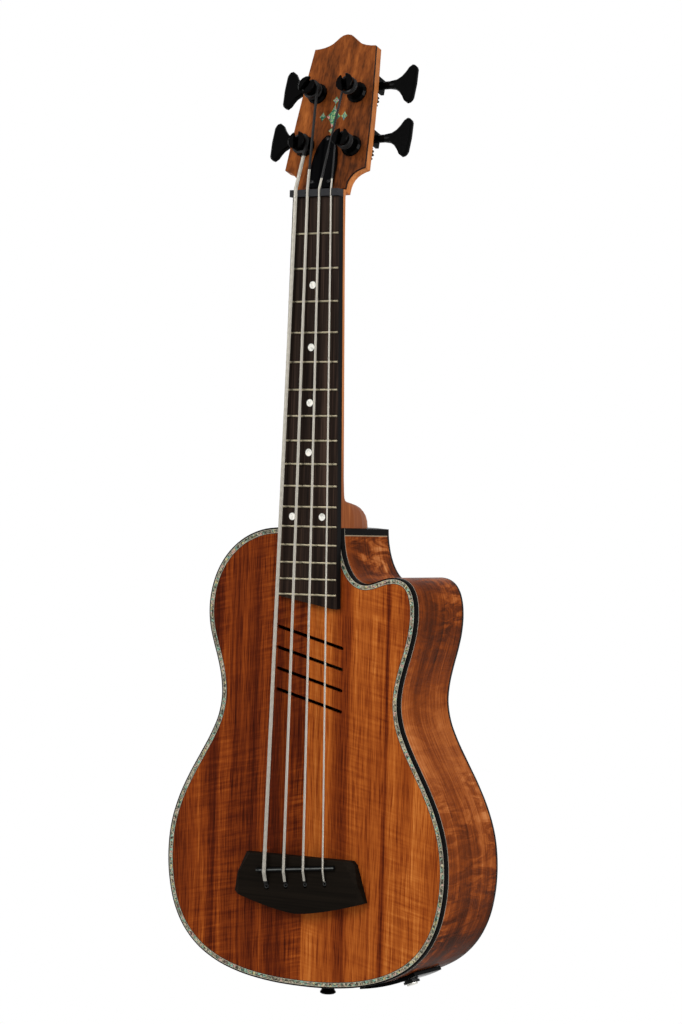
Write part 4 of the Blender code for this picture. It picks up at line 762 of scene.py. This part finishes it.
def build_body():
    """The soundbox with smooth curves in place of the CAD's facets."""
    black = LOOKS["black_binding"]
    loop = finer(plane_loops("top_binding", 0.0)[0])
    rim_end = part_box("top_binding")[1][1]
    wall_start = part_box("sides")[0][1]
    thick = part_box("back_binding")[1][1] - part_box("sides")[1][1]
    bevel, round_off = 0.6 * MM, 0.18 * MM  # of a rim's outer edge
    shell_start, shell_depth = 1.25 * MM, 1.2 * MM

    def off_back(distance):
        """Depth as a function of height, at a distance in front of the back's face."""
        return lambda z: back_depth(z) - distance

    pieces = {}
    pieces["top_binding"] = ring("top_rim", loop, [
        (0.0, rim_end, 0), (0.0, bevel, 0), (round_off, round_off, 0), (bevel, 0.0, 0),
        (BINDING_WIDTH, 0.0, 0), (BINDING_WIDTH, rim_end, 0),
    ], [black])
    # Inward from the binding: a pale line, the shell, a pale line, a black one
    pieces["top_purfling"] = ring("shell_band", loop, [
        (shell_start, shell_depth, 0), (shell_start, 0.0, 0), (1.6 * MM, 0.0, 1), (4.15 * MM, 0.0, 0),
        (4.45 * MM, 0.0, 2), (SHELL_INSET, 0.0, 2), (SHELL_INSET, shell_depth, 0),
    ], [PALE_TRIM, LOOKS["abalone"], black])
    pieces["top_plate"] = plate(
        "top_board", [inset(loop, SHELL_INSET), *plane_loops("top_plate", 0.0)[1:]],
        lambda z: 0.0, TOP_THICKNESS, [LOOKS["koa_top"]],
    )
    pieces["sides"] = ring("bent_sides", loop, [
        (0.0, wall_start - 0.2 * MM, 1), (0.0, wall_start + 0.25 * MM, 0),
        (0.0, off_back(thick - 0.2 * MM), 0), (SIDE_THICKNESS, off_back(thick), 0),
        (SIDE_THICKNESS, wall_start, 0),
    ], [LOOKS["koa_sides"], PALE_TRIM])
    rim_start = off_back(thick - 0.25 * MM)
    pieces["back_binding"] = ring("back_rim", loop, [
        (0.0, rim_start, 0), (0.0, off_back(bevel), 0), (round_off, off_back(round_off), 0),
        (bevel, back_depth, 0), (BINDING_WIDTH, back_depth, 0), (BINDING_WIDTH, rim_start, 0),
    ], [black])
    pieces["back_plate"] = plate(
        "back_board", [inset(loop, BINDING_WIDTH + 0.05 * MM)], back_depth, -BACK_THICKNESS,
        [LOOKS["koa_back"]], bend_every=8 * MM,
    )
    for node, piece in pieces.items():
        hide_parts(node)


def joined(shape, rows, ends=False):
    """Adds the faces between rows of points round an axis and, for ends, over the first and last row."""
    for near, far in zip(rows, rows[1:]):
        count = len(near)
        for i in range(count):
            n = (i + 1) % count
            shape.faces.new((near[i], near[n], far[n], far[i]))
    if ends:
        shape.faces.new(rows[-1])
        shape.faces.new(rows[0][::-1])


def tile(shape, frame_matrix, outline, low, high, bevel):
    """Adds a prism to a mesh: outline in the frame's X and Y, from height low to high."""
    near = [shape.verts.new(frame_matrix @ Vector((x, y, low))) for x, y in outline]
    rim = [shape.verts.new(frame_matrix @ Vector((x, y, high - bevel))) for x, y in outline]
    middle = Vector((sum(p[0] for p in outline), sum(p[1] for p in outline))) / len(outline)
    top = []
    for x, y in outline:
        toward = (middle - Vector((x, y))).normalized() * bevel
        top.append(shape.verts.new(frame_matrix @ Vector((x + toward.x, y + toward.y, high))))
    joined(shape, [near, rim, top], ends=True)


def around(sides):
    """Angles of the corners of a regular polygon."""
    return [2 * math.pi * i / sides for i in range(sides)]


def build_dots():
    """Pearl position marks between the frets, two of them before the twelfth."""
    shape = bmesh.new()
    radius, pair_offset = 2.9 * MM, 13.66 * MM
    outline = [(radius * math.cos(angle), radius * math.sin(angle)) for angle in around(24)]
    places = [(0, number) for number in (3, 5, 7, 9)] + [(-pair_offset, 12), (pair_offset, 12)]
    for x, number in places:
        low, high = (SCALE_LENGTH * (1 - 2 ** (-n / 12)) for n in (number - 1, number))
        frame_matrix = FRONT @ Matrix.Translation((x, -(low + high) / 2, -BOARD_FACE))
        tile(shape, frame_matrix, outline, -INLAY_DEPTH, 0.04 * MM, INLAY_BEVEL)
    piece = finished("position_dots", shape, [PEARL])


def lozenge(centre, half_width, half_height, pinch=0.82, side_points=6):
    """A diamond with slightly hollow sides."""
    x, y = centre
    corners = [(half_width, 0), (0, half_height), (-half_width, 0), (0, -half_height)]
    points = []
    for (ax, ay), (bx, by) in zip(corners, corners[1:] + corners[:1]):
        for k in range(side_points):
            t = k / side_points
            shrink = 1 - (1 - pinch) * 4 * t * (1 - t)
            points.append((x + (ax + (bx - ax) * t) * shrink, y + (ay + (by - ay) * t) * shrink))
    return points


def build_inlay():
    """Diamonds of shell in the face of the headstock."""
    shape = bmesh.new()
    diamonds = [  # centre, half width and half height, in mm
        ((0, 62.8), 6.4, 9.6), ((0, 76.4), 2.9, 3.6), ((0, 50.6), 2.4, 2.5),
        ((-9.9, 62.8), 2.9, 4.2), ((9.9, 62.8), 2.9, 4.2),
    ]
    for centre, width, height in diamonds:
        outline = [(x * MM, y * MM) for x, y in lozenge(centre, width, height)]
        tile(shape, HEAD, outline, -INLAY_DEPTH, 0.05 * MM, INLAY_BEVEL)
    piece = finished("head_inlay", shape, [BRIGHT_SHELL], smooth=False)


def screw(shape, frame_matrix, radius, height):
    """Adds a domed screw head with a cross recess to a mesh."""
    angles = around(24)
    sunk = 0.3 * MM
    # Shares of the radius and of the height; the cross reaches far in four directions
    cross = [0.14 + 0.40 * abs(math.cos(2 * angle)) ** 6 for angle in angles]
    dome = [(1.0, -sunk), (1.0, 0.15 * height), (0.86, 0.62 * height), (0.6, 0.94 * height)]
    levels = [([share] * len(angles), level) for share, level in dome]
    levels += [(cross, height), ([0.9 * share for share in cross], 0.2 * height)]
    rows = []
    for shares, level in levels:
        row = []
        for angle, share in zip(angles, shares):
            r = share * radius
            point = Vector((r * math.cos(angle), r * math.sin(angle), level))
            row.append(shape.verts.new(frame_matrix @ point))
        rows.append(row)
    joined(shape, rows, ends=True)


def round_ring(shape, frame_matrix, radius, thickness):
    """Adds a torus about the frame's Z axis to a mesh."""
    rows = []
    for turn in around(28):
        row = []
        for angle in around(10):
            r = radius + thickness * math.cos(angle)
            point = Vector((r * math.cos(turn), r * math.sin(turn), thickness * math.sin(angle)))
            row.append(shape.verts.new(frame_matrix @ point))
        rows.append(row)
    joined(shape, rows + rows[:1])


def build_rings():
    """The bright rim of the jack's mouth, and a dark eyelet where each string enters the bridge."""
    way = JACK_WAY.to_track_quat("Z", "Y").to_matrix().to_4x4()
    mouth = Matrix.Translation(JACK_MOUTH + JACK_WAY.normalized() * 0.1 * MM)
    shape = bmesh.new()
    round_ring(shape, mouth @ way, 3.7 * MM, 0.75 * MM)
    rim_look = smooth_finish("jack_rim_look", rgb(226, 224, 216), roughness=0.25, metallic=0.5)
    finished("jack_rim", shape, [rim_look])

    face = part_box("bridge")[0][1]
    above, below = 4 * MM, 14 * MM  # of the bridge's face
    ends_below = -500 * MM  # the strings' ends at the bridge are lower than this
    nearest = 12
    shape = bmesh.new()
    for letter in POSTS:
        points = [
            vertex.co for vertex in NODES["string_" + letter].data.vertices
            if face - above < vertex.co.y < face + below and vertex.co.z < ends_below
        ]
        points.sort(key=lambda point: abs(point.y - face))
        near = points[:nearest]
        middle = sum(near, Vector()) / len(near)
        radius = max((point - middle).xz.length for point in near)
        place = Matrix.Translation((middle.x, face - 0.05 * MM, middle.z))
        round_ring(shape, place @ FRONT, radius + 0.8 * MM, 0.45 * MM)
    eyelet = smooth_finish("eyelet_look", rgb(10, 10, 10), roughness=0.2, specular=0.3)
    finished("string_eyelets", shape, [eyelet])


def build_screws():
    """Three screws in the truss rod cover's face, and two in the back of each machine's plate."""
    cover_face, machine_back = 2.7 * MM, -10.8 * MM  # from the headstock's own plane
    to_side, to_foot = 9.4, 7.0  # of a machine's screws from its post, in mm
    height = 0.7 * MM
    shape = bmesh.new()
    for across, along in ((0, 42.7), (-7.6, 6.6), (7.6, 6.6)):
        place = Matrix.Translation((across * MM, along * MM, cover_face))
        screw(shape, HEAD @ place, 1.7 * MM, height)
    finished("cover_screws", shape, [SCREW_BLACK])

    shape = bmesh.new()
    backwards = Matrix.Rotation(math.pi, 4, "Y")
    for across, along in POSTS.values():
        for offset in (-to_side, to_side):
            place = Matrix.Translation(((across + offset) * MM, (along - to_foot) * MM, machine_back))
            screw(shape, HEAD @ place @ backwards, 1.6 * MM, height)
    finished("machine_screws", shape, [SCREW_BLACK])


def build_floor():
    """A pale round floor, brighter to the camera than the light makes it."""
    mesh = bpy.data.meshes.new("floor")
    grid = bmesh.new()
    bmesh.ops.create_circle(grid, cap_ends=True, segments=96, radius=FLOOR_RADIUS)
    bmesh.ops.translate(grid, verts=grid.verts, vec=(0, 0, FLOOR_HEIGHT))
    grid.to_mesh(mesh)
    grid.free()
    look = Look("floor_look", Roughness=0.9, Specular_IOR_Level=0.1)
    cloud = look.noise(look.place, scale=2.0, detail=2)
    seen_by_camera = look.add("ShaderNodeLightPath").outputs["Is Camera Ray"]
    look.set(
        Base_Color=look.ramp(cloud, [(0.3, rgb(238, 238, 237)), (0.7, rgb(243, 243, 242))]),
        Emission_Color=(1.0, 1.0, 1.0),
        Emission_Strength=look.times(seen_by_camera, FLOOR_GLOW),
    )
    new_object("floor", mesh, [look.material])


def build_world():
    """White to the camera, in reflections and through glass, and softer light on the object."""
    world = bpy.data.worlds.new("studio")
    bpy.context.scene.world = world
    world.use_nodes = True
    tree = world.node_tree
    background = tree.nodes["Background"]
    path = tree.nodes.new("ShaderNodeLightPath")

    def summed(first, second):
        node = tree.nodes.new("ShaderNodeMath")
        node.operation = "ADD"
        node.use_clamp = True
        tree.links.new(first, node.inputs[0])
        tree.links.new(second, node.inputs[1])
        return node.outputs[0]

    seen = summed(
        summed(path.outputs["Is Camera Ray"], path.outputs["Is Glossy Ray"]),
        path.outputs["Is Transmission Ray"],
    )
    level = tree.nodes.new("ShaderNodeMapRange")
    tree.links.new(seen, level.inputs["Value"])
    level.inputs["To Min"].default_value = WORLD_LEVEL
    level.inputs["To Max"].default_value = 1.0
    background.inputs["Color"].default_value = (1.0, 1.0, 1.0, 1.0)
    tree.links.new(level.outputs[0], background.inputs["Strength"])


def build_lamps():
    """Soft lamps that face the body's centre."""
    for name, (offset, width, height, power) in LAMPS.items():
        data = bpy.data.lights.new(name, "AREA")
        data.shape = "RECTANGLE"
        data.size = width
        data.size_y = height
        data.energy = power
        lamp = bpy.data.objects.new(name, data)
        place = BODY_CENTRE + Vector(offset)
        turn = (BODY_CENTRE - place).to_track_quat("-Z", "Y").to_matrix().to_4x4()
        lamp.matrix_world = Matrix.Translation(place) @ turn
        bpy.context.scene.collection.objects.link(lamp)


def build_camera():
    """The photograph's camera."""
    data = bpy.data.cameras.new("camera")
    data.sensor_width = SENSOR
    data.lens = FOCAL_PIXELS / PHOTO_HEIGHT * SENSOR
    data.clip_end = 50.0
    camera = bpy.data.objects.new("camera", data)
    turn = Matrix((CAMERA_RIGHT, -CAMERA_DOWN, -CAMERA_FORWARD)).transposed().to_4x4()
    camera.matrix_world = Matrix.Translation(CAMERA_PLACE) @ turn
    bpy.context.scene.collection.objects.link(camera)
    bpy.context.scene.camera = camera


dress_nodes()
build_body()
build_dots()
build_inlay()
build_screws()
build_rings()
build_world()
build_floor()
build_lamps()
build_camera()
bpy.context.scene.view_settings.view_transform = "Standard"
